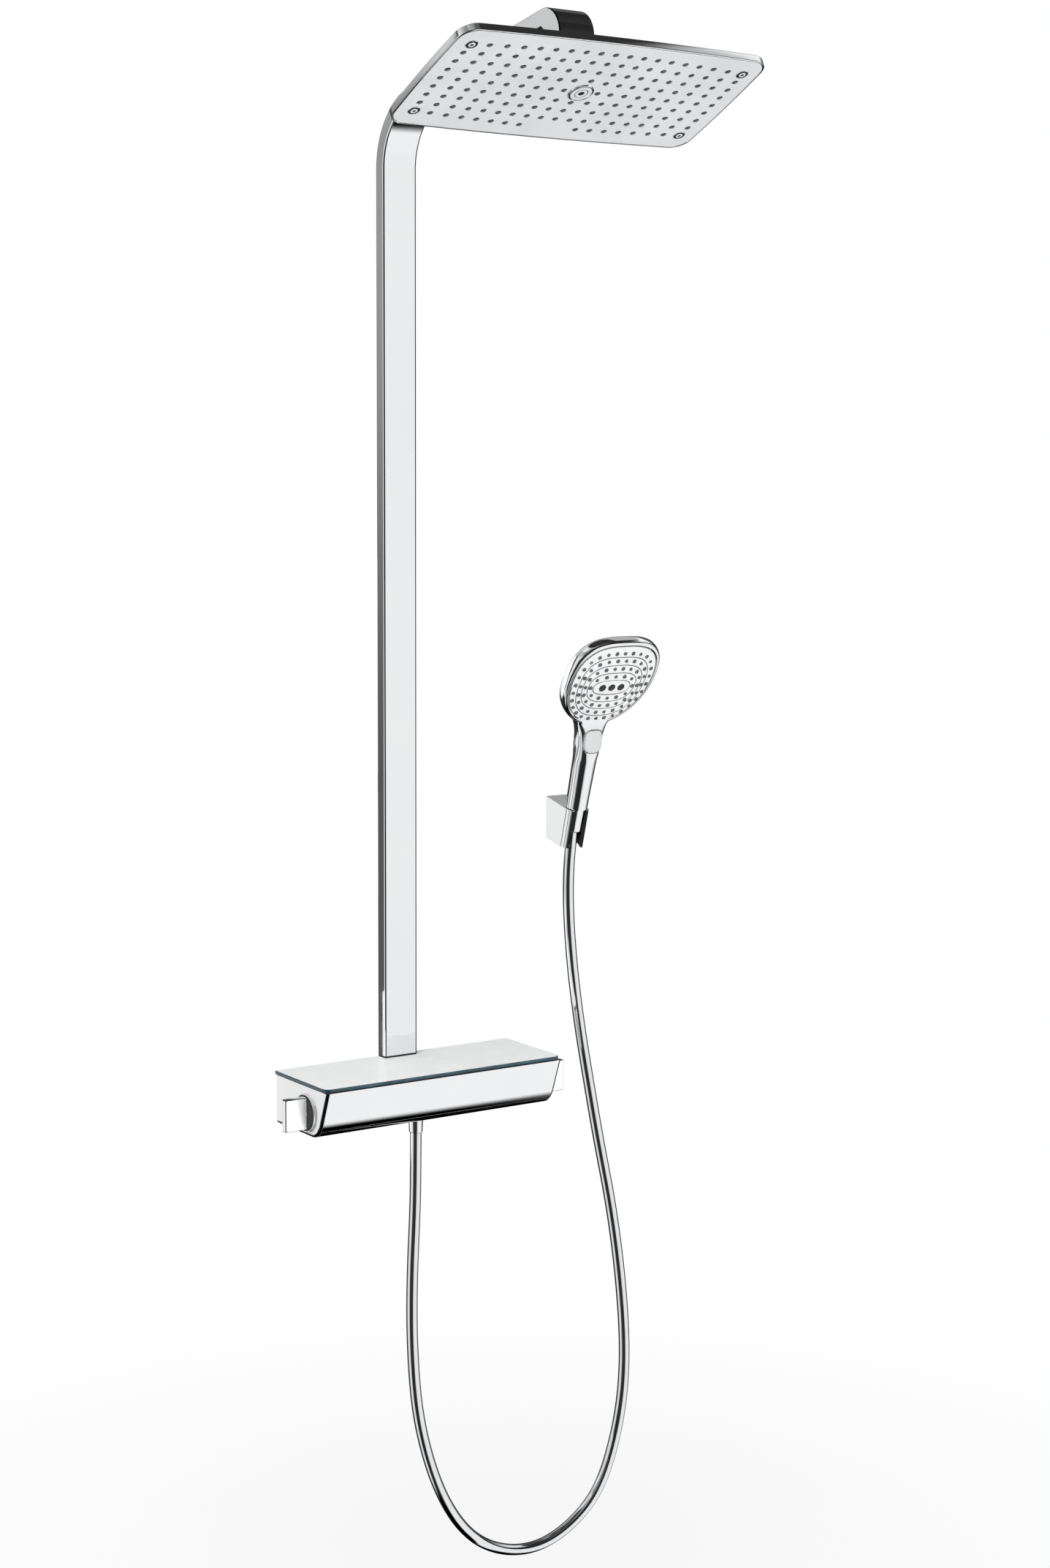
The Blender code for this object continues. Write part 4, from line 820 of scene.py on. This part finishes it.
def head_plan(inset):
    """The head's rounded rectangle in its own axes, its sides bowed out a little."""
    half_w, half_d = HEAD_HALF_W - inset, HEAD_HALF_D - inset
    corners = rounded_box(half_w, half_d, max(HEAD_CORNER - inset * 0.4, 4.0), CORNER_STEPS)
    plan = []
    for k, (a, b) in enumerate(corners):
        plan.append((a, b))
        if k % (CORNER_STEPS + 1) == CORNER_STEPS:
            c, d = corners[(k + 1) % len(corners)]
            plan += [(a + (c - a) * i / SIDE_STEPS, b + (d - b) * i / SIDE_STEPS)
                     for i in range(1, SIDE_STEPS)]
    return [(a * (1 - HEAD_BOW_SIDE * (b / HEAD_HALF_D) ** 2),
             b * (1 - HEAD_BOW_FRONT * (a / HEAD_HALF_W) ** 2)) for a, b in plan]


def head_ring(inset, height, neck=0.0):
    """One ring of the head's skin; neck from 0 to 1 draws it in to the round neck hole."""
    points = []
    for a, b in head_plan(inset):
        angle = math.atan2(b, a)
        round_a, round_b = NECK_HOLE_R * math.cos(angle), NECK_HOLE_R * math.sin(angle)
        points.append(head_point(a + (round_a - a) * neck, b + (round_b - b) * neck, height))
    return points


def nozzle_spots():
    """Nozzle centres: a grid that bows out towards the middle and opens round the disc."""
    spots = []
    for i in range(-9, 10):
        for j in range(-4, 5):
            u, v = i / 9, j / 4
            corner = abs(u) == 1 and abs(v) == 1
            blank = j == 4 and abs(i) <= 1
            if corner or blank or (u == 0 and v == 0):
                continue
            a = NOZZLE_HALF_W * u * (1 + 0.013 * (1 - v * v) - 0.057 * (1 - u * u))
            b = NOZZLE_HALF_D * v * (1 + 0.123 * (1 - u * u))
            spread = 1 + DISC_CLEAR / (a * a + b * b)
            spots.append((a * spread, b * spread))
    return spots


def make_head(mats):
    body = "overhead_head"
    rings = [head_ring(inset, height) for inset, height in SHELL_RIM]
    for k in range(1, ROOF_STEPS + 1):
        share = k / ROOF_STEPS
        rings.append(head_ring(ROOF_START + (ROOF_END - ROOF_START) * share,
                               ROOF_H + (NECK_FOOT_H - ROOF_H) * share))
    for k in range(1, NECK_STEPS + 1):
        share = k / NECK_STEPS
        rings.append(head_ring(ROOF_END, NECK_FOOT_H + NECK_RISE * share ** 0.8, share))
    rings += [head_ring(inset, height, neck) for inset, height, neck in SHELL_INSIDE]
    bm = bmesh.new()
    add_loft(bm, rings, closed=True)
    piece("head_shell_look", bm, [mats["chrome"]], body, ["head_shell"])
    make_spray_plate(mats, body)
    make_nozzles(mats, body)
    make_plate_trim(mats, body)
    make_ball_joint(mats, body)
    hide_from_chrome()


def make_spray_plate(mats, body):
    """A flat plate with a rounded rim and a rounded lip at every hole."""
    lip = 0.3
    flat = bpy.data.curves.new("plate_outline", "CURVE")
    flat.dimensions = "2D"
    flat.fill_mode = "BOTH"
    flat.extrude = (PLATE_T / 2 - lip) * MM
    flat.bevel_depth = lip * MM
    flat.bevel_resolution = 2
    flat.offset = -lip * MM
    circles = [((a, b), NOZZLE_HOLE_R, 20) for a, b in nozzle_spots()]
    circles += [((a, b), SCREW_HOLE_R, 32) for a in (-NOZZLE_HALF_W, NOZZLE_HALF_W)
                for b in (-NOZZLE_HALF_D, NOZZLE_HALF_D)]
    outlines = [head_plan(PLATE_INSET)]
    outlines += [[(a + r * math.cos(2 * math.pi * k / n), b - r * math.sin(2 * math.pi * k / n))
                  for k in range(n)] for (a, b), r, n in circles]
    for points in outlines:
        line = flat.splines.new("POLY")
        line.use_cyclic_u = True
        line.points.add(len(points) - 1)
        for knot, (a, b) in zip(line.points, points):
            knot.co = (a * MM, b * MM, 0, 1)
    holder = bpy.data.objects.new("plate_outline", flat)
    bpy.context.scene.collection.objects.link(holder)
    bpy.context.view_layer.update()
    mesh = bpy.data.meshes.new_from_object(holder.evaluated_get(bpy.context.evaluated_depsgraph_get()))
    bpy.data.objects.remove(holder)
    turn = Matrix((X_AXIS, HEAD_DEEP, HEAD_UP)).transposed().to_4x4()
    centre = head_point(0, 0, PLATE_LOW + PLATE_T / 2)
    mesh.transform(Matrix.Translation(centre * MM) @ turn)
    bm = bmesh.new()
    bm.from_mesh(mesh)
    bmesh.ops.remove_doubles(bm, verts=bm.verts, dist=1e-6)
    bmesh.ops.recalc_face_normals(bm, faces=bm.faces)
    plate = store("spray_plate_look", bm, [mats["satin"]])
    settle_normals(plate)
    finish_piece(plate, body, ["spray_plate"])


def make_nozzles(mats, body):
    """The silicone mat behind the plate, coloured near-black as painted shade in the holes, with one soft nub
    in every hole.
    """
    bm = bmesh.new()
    floor = PLATE_LOW + PLATE_T + 0.15
    add_loft(bm, [head_ring(4.8, floor), head_ring(4.8, floor + 1.4)])
    for a, b in nozzle_spots():
        add_loft(bm, [ring(head_point(a, b, floor + h), X_AXIS, HEAD_DEEP, r, 14) for r, h in NUB_PROFILE],
                 material=1)
    piece("nozzle_mat_look", bm, [mats["black"], mats["nub"]], body, ["nozzle_mat"])


def make_plate_trim(mats, body):
    """Four socket screws in the corners and the disc in the middle of the plate."""
    trim = [("plate_screw_%s_%s" % (deep, across), a, b, SCREW_RINGS, "steel")
            for a, across in ((-NOZZLE_HALF_W, "left"), (NOZZLE_HALF_W, "right"))
            for b, deep in ((-NOZZLE_HALF_D, "front"), (NOZZLE_HALF_D, "back"))]
    trim.append(("centre_disc", 0, 0, DISC_RINGS, "chrome"))
    for name, a, b, rings, slot in trim:
        bm = bmesh.new()
        for profile, count, material in rings:
            add_turned(bm, head_point(a, b, 0), HEAD_UP, profile, count, hollow=True, material=material)
        piece(name + "_look", bm, [mats["chrome"], mats["satin"], mats["black"]], body, [name])


def make_ball_joint(mats, body):
    """The socket on the head's neck and the ball stud under the arm's end."""
    floor = SOCKET_FOOT - BALL_H
    cup = arc((0, 0), SOCKET_BORE_R, 20, -50, 14)
    mouth = cup[0][1]
    skirt = rounded([(30.0, floor), (30.0, floor + 2.0), (16.5, floor + 6.0), (15.5, mouth - 1),
                     (14.0, mouth)], 0.8, closed=False)
    bm = bmesh.new()
    add_turned(bm, BALL, HEAD_UP, skirt + cup + [(3.5, -11.0), (3.5, floor)], 72, hollow=True)
    piece("swivel_socket_look", bm, [mats["chrome"]], body, ["swivel_socket"])
    stud = arc((0, 0), STUD_R, -80, 56, 17)
    bm = bmesh.new()
    add_turned(bm, BALL, Z_AXIS, stud + [(STUD_NECK_R, 10.0), (STUD_NECK_R, ARM_UNDER_Z - BALL.z)], 64)
    piece("ball_stud_look", bm, [mats["chrome"]], "wall_set", ["ball_stud"])


def hide_from_chrome():
    """Keep the overhead shower and its dark inside out of the reflections."""
    names = ("head_shell_look", "spray_plate_look", "nozzle_mat_look", "swivel_socket_look",
             "centre_disc_look", "ball_stud_look", "water_chamber", "ball_seat", "plate_screw")
    for thing in bpy.data.objects:
        if thing.name.startswith(names):
            thing.visible_glossy = False


# ---- hand shower --------------------------------------------------------------------
TAPER_START, TAPER_RUN, TAPER_SHARE = 10.0, 60.0, 0.26
FACE_LIFT, DOME_LIFT = 3.0, 1.0
HAND_HALF_W, HAND_HALF_H = 60.0, 58.5
FACE_HALF_W, FACE_HALF_H = 56.0, 54.5
BUTTON_T, BUTTON_HALF_W, BUTTON_HALF_H, BUTTON_POWER = 80.0, 12.2, 13.0, 3.5
POCKET_GAP, POCKET_ENDS = 0.5, (4.8, 24.0)
HAND_BORE_R, HAND_BORE_DEPTH = 8.6, 58
SKIN_VOXEL, SKIN_SINK = 0.9, 0.7
# (outline grown by, height over the face) for the dish of the head and for its rim.
DISH = [(-8, -6.0), (-1.6, -7.0), (-0.6, -10.0), (-0.5, -12.6), (-1.2, -15.4), (-4, -18.6), (-10, -22.2),
        (-18, -24.8), (-36, -26.6)]
RIM = [(-5.4, -8.6), (-5.4, -3.4), (-5.1, -3.0), (-4.6, -2.8), (-3.0, -3.0), (-1.8, -3.6), (-0.8, -4.8),
       (-0.2, -6.6), (0, -9.0), (0, -11.0), (-0.1, -13.0), (-0.7, -14.8), (-2.6, -15.2), (-5.2, -12.0)]
# (way up the handle, half width, half depth, way out) of the handle's sections.
HANDLE_STATIONS = [
    (-3.0, 12.0, 12.0, 0.0), (-2.2, 12.5, 12.5, 0.0), (10, 12.7, 12.7, 0), (30, 13.2, 13.0, 0.0),
    (48, 13.7, 13.2, 0.1), (62, 14.0, 13.4, 0.2), (74, 14.6, 13.0, -0.2), (84, 15.8, 12.2, -0.8),
    (92, 18.0, 11.2, -1.2), (98, 20.8, 9.8, -1.2), (104, 24.5, 9.0, -0.4), (110, 29.0, 8.2, 1.2),
    (117, 34.0, 7.4, 3.8), (125, 38.0, 6.8, 6.8), (136, 38.0, 5.6, 11.6), (150, 30.0, 4.4, 16.4),
]
GRIP_CURVE_END, GRIP_END = 118, 107.5
# Outlines on the spray face as (half width, half height, squareness); lanes add a nozzle count.
GROOVES = [(44.4, 40.8, 2.9), (38.6, 30.4, 2.7), (31.6, 20.0, 2.8)]
GROOVE_SECTION = [(0.55, 0.0), (0.15, -0.55), (-0.15, -0.55), (-0.55, 0.0)]
NOZZLE_LANES = [(48.8, 45.4, 2.9, 28), (41.6, 35.8, 2.8, 22), (35.4, 25.6, 2.7, 18), (28.4, 15.0, 2.7, 12)]
# The white face's edge as (half width, half height, height, lift), and the pill in its middle.
FACE_EDGE = [(53.6, 52.1, -8.0, 3.0), (53.6, 52.1, -3.4, 3.0), (53.2, 51.7, -2.8, 3.0),
             (52.2, 50.6, -2.45, 2.8)]
PILL = [(24.4, 9.4, -3.2), (24.4, 9.4, 0.3), (24.0, 9.0, 0.65), (22.0, 7.4, 0.8)]
PILL_POWER = 2.6
SPOT_PROFILE = [(4.5, 0.5), (4.5, 1.1), (3.9, 1.5), (3.3, 1.2), (2.9, 0.9), (1.4, 0.9), (1.2, 1.7),
                (0.2, 1.7), (0.2, 0.5)]
BUTTON_RINGS = [(0, 9.6), (0, 14.6), (0.15, 15.1), (0.6, 15.5), (1.3, 15.65), (1.9, 15.5), (2.4, 15.3),
                (6.0, 15.5)]


def grip_point(a, t, out):
    """A point by its place across the handle, its way up it and its way out from it."""
    return GRIP_FOOT + X_AXIS * a + GRIP_UP * t + GRIP_OUT * out


def face_point(a, b, height):
    """A point by its place across and up the spray face and its height over it."""
    return FACE_CENTRE + X_AXIS * a + FACE_UP * b + FACE_OUT * height


def tapered(outline):
    """Draw the lower part of the spray head's outline in towards the handle."""
    made = []
    for a, b in outline:
        reach = max(0.0, TAPER_START - b) / TAPER_RUN
        made.append((a * (1 - TAPER_SHARE * reach ** 1.9), b))
    return made


def face_ring(half_w, half_h, height, power=2.9, count=96, lift=FACE_LIFT):
    return [face_point(a, b + lift, height) for a, b in tapered(soft_square(half_w, half_h, power, count))]


def grip_ring(t, half_w, half_d, out, count):
    """One section of the handle; it grows squarer towards the button."""
    power = 2.0 + 0.9 * min(max((t - 56.0) / 18.0, 0.0), 1.0)
    return [grip_point(a, t, out + b) for a, b in soft_square(half_w, half_d, power, count)]


def eased(stations, steps):
    """The stations with more in between, on Catmull-Rom curves."""
    ends = [stations[0]] + stations + [stations[-1]]
    made = []
    for four in zip(ends, ends[1:], ends[2:], ends[3:]):
        for k in range(steps):
            u = k / steps
            pulls = (-0.5 * u + u ** 2 - 0.5 * u ** 3, 1 - 2.5 * u ** 2 + 1.5 * u ** 3,
                     0.5 * u + 2 * u ** 2 - 1.5 * u ** 3, -0.5 * u ** 2 + 0.5 * u ** 3)
            made.append(tuple(sum(pull * value for pull, value in zip(pulls, values))
                              for values in zip(*four)))
    return made + [stations[-1]]


def make_hand_shell(mats):
    """The hand shower's skin: head and handle melted together, and a clean handle and rim over them."""
    bm = bmesh.new()
    add_loft(bm, [face_ring(HAND_HALF_W + grow, HAND_HALF_H + grow, height) for grow, height in DISH])
    rows = []
    for t, w, d, out in HANDLE_STATIONS:
        sunk = SKIN_SINK * min(max((114.0 - t) / 5.0, 0.0), 1.0)
        rows.append(grip_ring(t, w - sunk, d - sunk, out, 48))
    add_loft(bm, rows)
    shell = piece("hand_shower_shell_look", bm, [mats["chrome"]])
    melt = shell.modifiers.new("melt", "REMESH")
    melt.mode = "VOXEL"
    melt.voxel_size = SKIN_VOXEL * MM
    keep_result(shell)
    soften = shell.modifiers.new("soften", "SMOOTH")
    soften.factor = 0.5
    soften.iterations = 24
    keep_result(shell)
    carve(shell, [face_ring(FACE_HALF_W - 1.2, FACE_HALF_H - 1.2, h) for h in (6.0, -9.0)])
    grip = make_clean_grip(mats)
    for part in (shell, grip):
        drill(part, grip_point(0, -6, 0), GRIP_UP, HAND_BORE_R, HAND_BORE_DEPTH)
        pocket = soft_square(BUTTON_HALF_W + POCKET_GAP, BUTTON_HALF_H + POCKET_GAP, BUTTON_POWER, 64)
        carve(part, [[grip_point(a, BUTTON_T + b, out) for a, b in pocket] for out in POCKET_ENDS])
    finish_piece(grip, "hand_shower")
    shell.data.materials.clear()
    shell.data.materials.append(mats["chrome"])
    finish_piece(shell, "hand_shower", ["hand_shower_shell"])
    bm = bmesh.new()
    add_loft(bm, [face_ring(HAND_HALF_W + grow, HAND_HALF_H + grow, height, count=144)
                  for grow, height in RIM], closed=True)
    finish_piece(piece("hand_shower_rim_look", bm, [mats["chrome"]]), "hand_shower")


def make_clean_grip(mats):
    """The handle as a plain loft that ends under the head's rim."""
    curve = eased([station for station in HANDLE_STATIONS if station[0] < GRIP_CURVE_END], 6)
    curve = [station for station in curve if station[0] < GRIP_END]
    t, w, d, out = curve[-1]
    curve.append((t + 1.5, w - 1.6, d - 1.6, out))
    bm = bmesh.new()
    add_loft(bm, [grip_ring(*station, 96) for station in curve])
    return piece("hand_shower_grip_look", bm, [mats["chrome"]])


def dome(a, b):
    """Height of the white face over its rim, highest in the middle."""
    return 0.8 - 3.2 * (a * a + b * b) / (52.0 ** 2)


def on_dome(a, b, lift=0.0):
    """A point on the white face, or lift over it."""
    return face_point(a, b + DOME_LIFT, dome(a, b) + lift)


def takes_groove_shade(face):
    """Whether a face of the spray face's mesh lies down in one of its grooves, where it gets the painted
    groove shade.
    """
    centre = face.center / MM - FACE_CENTRE
    a, b = centre.dot(X_AXIS), centre.dot(FACE_UP) - DOME_LIFT
    depth = dome(a, b) - centre.dot(FACE_OUT)
    return 0.2 < depth < 0.7 and abs(b) < 44.5


def make_hand_face(mats):
    body = "hand_shower"
    rings = [face_ring(w, h, height, lift=lift) for w, h, height, lift in FACE_EDGE]
    lanes = [(w + grow, h + grow, power, dip) for w, h, power in GROOVES for grow, dip in GROOVE_SECTION]
    lanes += [(25.4, 10.4, PILL_POWER, 0.0), (24.9, 9.9, PILL_POWER, -0.5)]
    for w, h, power, dip in lanes:
        rings.append([on_dome(a, b, dip) for a, b in tapered(soft_square(w, h, power))])
    rings.append([p - FACE_OUT * 3.0 for p in rings[-1]])
    bm = bmesh.new()
    add_loft(bm, rings)
    face = piece("hand_spray_face_look", bm, [mats["white"], mats["groove"]], body,
                 ["hand_spray_face"])
    # The faces down in the grooves get the dark grey painted shade.
    paint(face, 1, takes_groove_shade)
    bm = bmesh.new()
    add_loft(bm, [face_ring(w, h, height, PILL_POWER, lift=DOME_LIFT) for w, h, height in PILL])
    for a in (-12.5, 0, 12.5):
        add_turned(bm, face_point(a, DOME_LIFT, 0), FACE_OUT, rounded(SPOT_PROFILE, 0.15), 32, hollow=True,
                   material=1)
    piece("hand_centre_look", bm, [mats["white"], mats["black"]], body, ["hand_centre_insert"])
    bm = bmesh.new()
    for w, h, power, count in NOZZLE_LANES:
        for k, (a, b) in enumerate(spread_along(tapered(soft_square(w, h, power, 240)), count)):
            size = 2.6 if k % 2 == 0 else 2.2
            cone = [(size, -1.2), (size, 0.15), (size * 0.8, 0.9), (size * 0.42, 1.0), (size * 0.32, 0.3),
                    (0.12, 0.3), (0.12, -1.2)]
            add_turned(bm, on_dome(a, b), FACE_OUT, rounded(cone, 0.12), 18, hollow=True)
    finish_piece(piece("hand_nozzles_look", bm, [mats["silicone"]]), body)


def make_button(mats):
    """The select button, crowned across and sloped along with the front of the handle."""
    rows = []
    for shrink, out in BUTTON_RINGS:
        outline = soft_square(BUTTON_HALF_W - shrink, BUTTON_HALF_H - shrink, BUTTON_POWER, 72)
        rows.append([grip_point(a, BUTTON_T + b, out - 3.1 - 0.13 * b - 0.014 * a * a) for a, b in outline])
    bm = bmesh.new()
    add_loft(bm, rows)
    piece("select_button_look", bm, [mats["button"]], "select_button", ["select_button"])


# ---- holder -------------------------------------------------------------------------
HOLDER_TOP, HOLDER_BOTTOM, HOLDER_HALF_W = -4.4, -50.0, 14.5
HOLDER_BORE, HOLDER_FLARE, SLOT_DEGREES = 11.6, 0.6, 41.6
LINER_T, LINER_SHORT, LINER_GAP = 1.5, 1.0, math.degrees(0.03)
# (way in from the end, outline drawn in by) where the holder's ends are rounded.
HOLDER_EDGE = [(0.0, 0.5), (0.15, 0.15), (0.5, 0.0)]


def bore_arc(radius, gap=0.0):
    """The holder's round bore, open at the front by the slot and a gap on each side."""
    start = 90 - SLOT_DEGREES - gap
    return arc((0, 0), radius, start, start - 2 * (180 - SLOT_DEGREES - gap), 40)


def holder_outline(t, bore_r, inset):
    """One section of the holder: straight to the wall, round in front, with the slotted bore."""
    back, w = inset - (GRIP_FOOT + GRIP_UP * t).y / GRIP_OUT.y, HOLDER_HALF_W - inset
    right = [(w, back)] + arc((0, 0), w, 0, 90 - SLOT_DEGREES, 16)
    left = [(-a, out) for a, out in reversed(right)]
    return [grip_point(a, t, out) for a, out in right + bore_arc(bore_r + inset) + left]


def make_holder(mats):
    wide = HOLDER_BORE + HOLDER_FLARE
    rings = [holder_outline(HOLDER_BOTTOM + way, HOLDER_BORE, inset) for way, inset in HOLDER_EDGE]
    rings += [holder_outline(HOLDER_TOP - way, wide, inset) for way, inset in reversed(HOLDER_EDGE)]
    bm = bmesh.new()
    add_loft(bm, rings)
    holder = piece("holder_bracket_look", bm, [mats["chrome"], mats["button"]], "wall_set",
                   ["holder_bracket"])
    middle = node_middle("holder_wall_plate")
    carve(holder, [[Vector((middle.x + x, y, middle.z + z)) for x, z in rounded_box(10.5, 15.5, 2)]
                   for y in (4, -10)])
    # The holder's top faces take the greyer button chrome: a painted sheen on the top.
    paint(holder, 1, lambda face: face.normal.dot(GRIP_UP) > 0.9)
    rows = []
    for t, outer, inner in ((HOLDER_BOTTOM + LINER_SHORT, HOLDER_BORE - 0.1, HOLDER_BORE - LINER_T),
                            (HOLDER_TOP - LINER_SHORT, wide - 0.1, wide - LINER_T)):
        outline = bore_arc(outer, LINER_GAP) + bore_arc(inner, LINER_GAP)[::-1]
        rows.append([grip_point(a, t, out) for a, out in outline])
    bm = bmesh.new()
    add_loft(bm, rows)
    piece("holder_liner_look", bm, [mats["black"]], "wall_set", ["holder_liner"])


# ---- hose and its nuts --------------------------------------------------------------
def smooth_route(points, step):
    """Points every step along a centripetal Catmull-Rom curve through the route."""
    knots = [Vector(p) for p in points]
    knots = [knots[0] * 2 - knots[1]] + knots + [knots[-1] * 2 - knots[-2]]
    fine = []
    for p0, p1, p2, p3 in zip(knots, knots[1:], knots[2:], knots[3:]):
        t0 = 0.0
        t1 = t0 + (p1 - p0).length ** 0.5
        t2 = t1 + (p2 - p1).length ** 0.5
        t3 = t2 + (p3 - p2).length ** 0.5
        for k in range(FINE_STEPS):
            t = t1 + (t2 - t1) * k / FINE_STEPS
            a1 = p0.lerp(p1, (t - t0) / (t1 - t0))
            a2 = p1.lerp(p2, (t - t1) / (t2 - t1))
            a3 = p2.lerp(p3, (t - t2) / (t3 - t2))
            b1 = a1.lerp(a2, (t - t0) / (t2 - t0))
            b2 = a2.lerp(a3, (t - t1) / (t3 - t1))
            fine.append(b1.lerp(b2, (t - t1) / (t2 - t1)))
    fine.append(Vector(points[-1]))
    total = sum((b - a).length for a, b in zip(fine, fine[1:]))
    count = round(total / step)
    spaced, walked, target = [fine[0]], 0.0, total / count
    for a, b in zip(fine, fine[1:]):
        run = (b - a).length
        while walked + run >= target and len(spaced) < count:
            spaced.append(a.lerp(b, (target - walked) / run))
            target += total / count
        walked += run
    spaced.append(fine[-1])
    return spaced


def even_out(points, rounds):
    """Average neighbours a few times so that the tube's bends flow; the ends stay."""
    for _ in range(rounds):
        inner = [(a + b * 2 + c) / 4 for a, b, c in zip(points, points[1:], points[2:])]
        points = [points[0]] + inner + [points[-1]]
    return points


def make_hose(mats):
    path = even_out(smooth_route(HOSE_ROUTE, HOSE_STEP), EVEN_ROUNDS)
    bm = bmesh.new()
    rows, side = [], X_AXIS
    for k, point in enumerate(path):
        along = (path[min(k + 1, len(path) - 1)] - path[max(k - 1, 0)]).normalized()
        side = (side - along * side.dot(along)).normalized()
        rows.append(ring(point, side, along.cross(side), HOSE_R, 28))
    add_loft(bm, rows)
    hose = piece("shower_hose_look", bm, [mats["hose"]])
    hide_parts("shower_hose")
    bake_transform(hose)
    low, high = node_box("hose_nut_lower")
    base = node_middle("hose_nut_lower")
    base.z = high.z
    drop = high.z - low.z
    profile = [(8.0, 0), (8.7, 0.5), (8.7, 6.0), (8.1, 6.6), (8.0, 7.6), (7.6, drop - 0.6), (7.2, drop),
               (6.45, drop), (6.45, 13.6), (6.7, 13.6), (6.7, 0)]
    lower = turned_piece("hose_nut_lower", base, -Z_AXIS, profile, mats["chrome"], "wall_set", 72)
    profile = [(9.8, 0), (9.8, 6.0), (9.3, 26.5), (8.6, 27.6), (6.5, 28.0), (6.45, 20), (6.6, 12), (6.6, 0)]
    upper = turned_piece("hose_nut_upper", grip_point(0, -4.0, 0), -GRIP_UP, profile, mats["chrome"],
                         "hand_shower", 72)


# ---- what stays of the CAD model ----------------------------------------------------
KEPT_NODES = {
    "brass": ["inlet_hot", "inlet_cold", "riser_connector", "valve_manifold", "water_pipe"],
    "steel": ["wall_plate", "holder_wall_plate", "holder_screw", "column_wall_bracket"],
    "white": ["thermostat_cartridge", "diverter_cartridge", "check_valve_hot", "check_valve_cold",
              "hand_waterway"],
    "rubber": ["filter_washer_hot", "filter_washer_cold", "hose_washer_lower", "hose_washer_upper"],
    "black": ["ball_seat", "water_chamber"],
}


def dress_kept_nodes(mats):
    for key, names in KEPT_NODES.items():
        for name in names:
            mesh = frame["nodes"][name].data
            mesh.materials.clear()
            mesh.materials.append(mats[key])


def main():
    bpy.context.scene.view_settings.view_transform = "Standard"
    make_camera()
    mats = make_materials()
    make_hose(mats)
    make_world()
    make_lights()
    make_surroundings()
    make_mixer(mats)
    make_column(mats)
    make_head(mats)
    make_hand_shell(mats)
    make_hand_face(mats)
    make_button(mats)
    make_holder(mats)
    dress_kept_nodes(mats)


main()
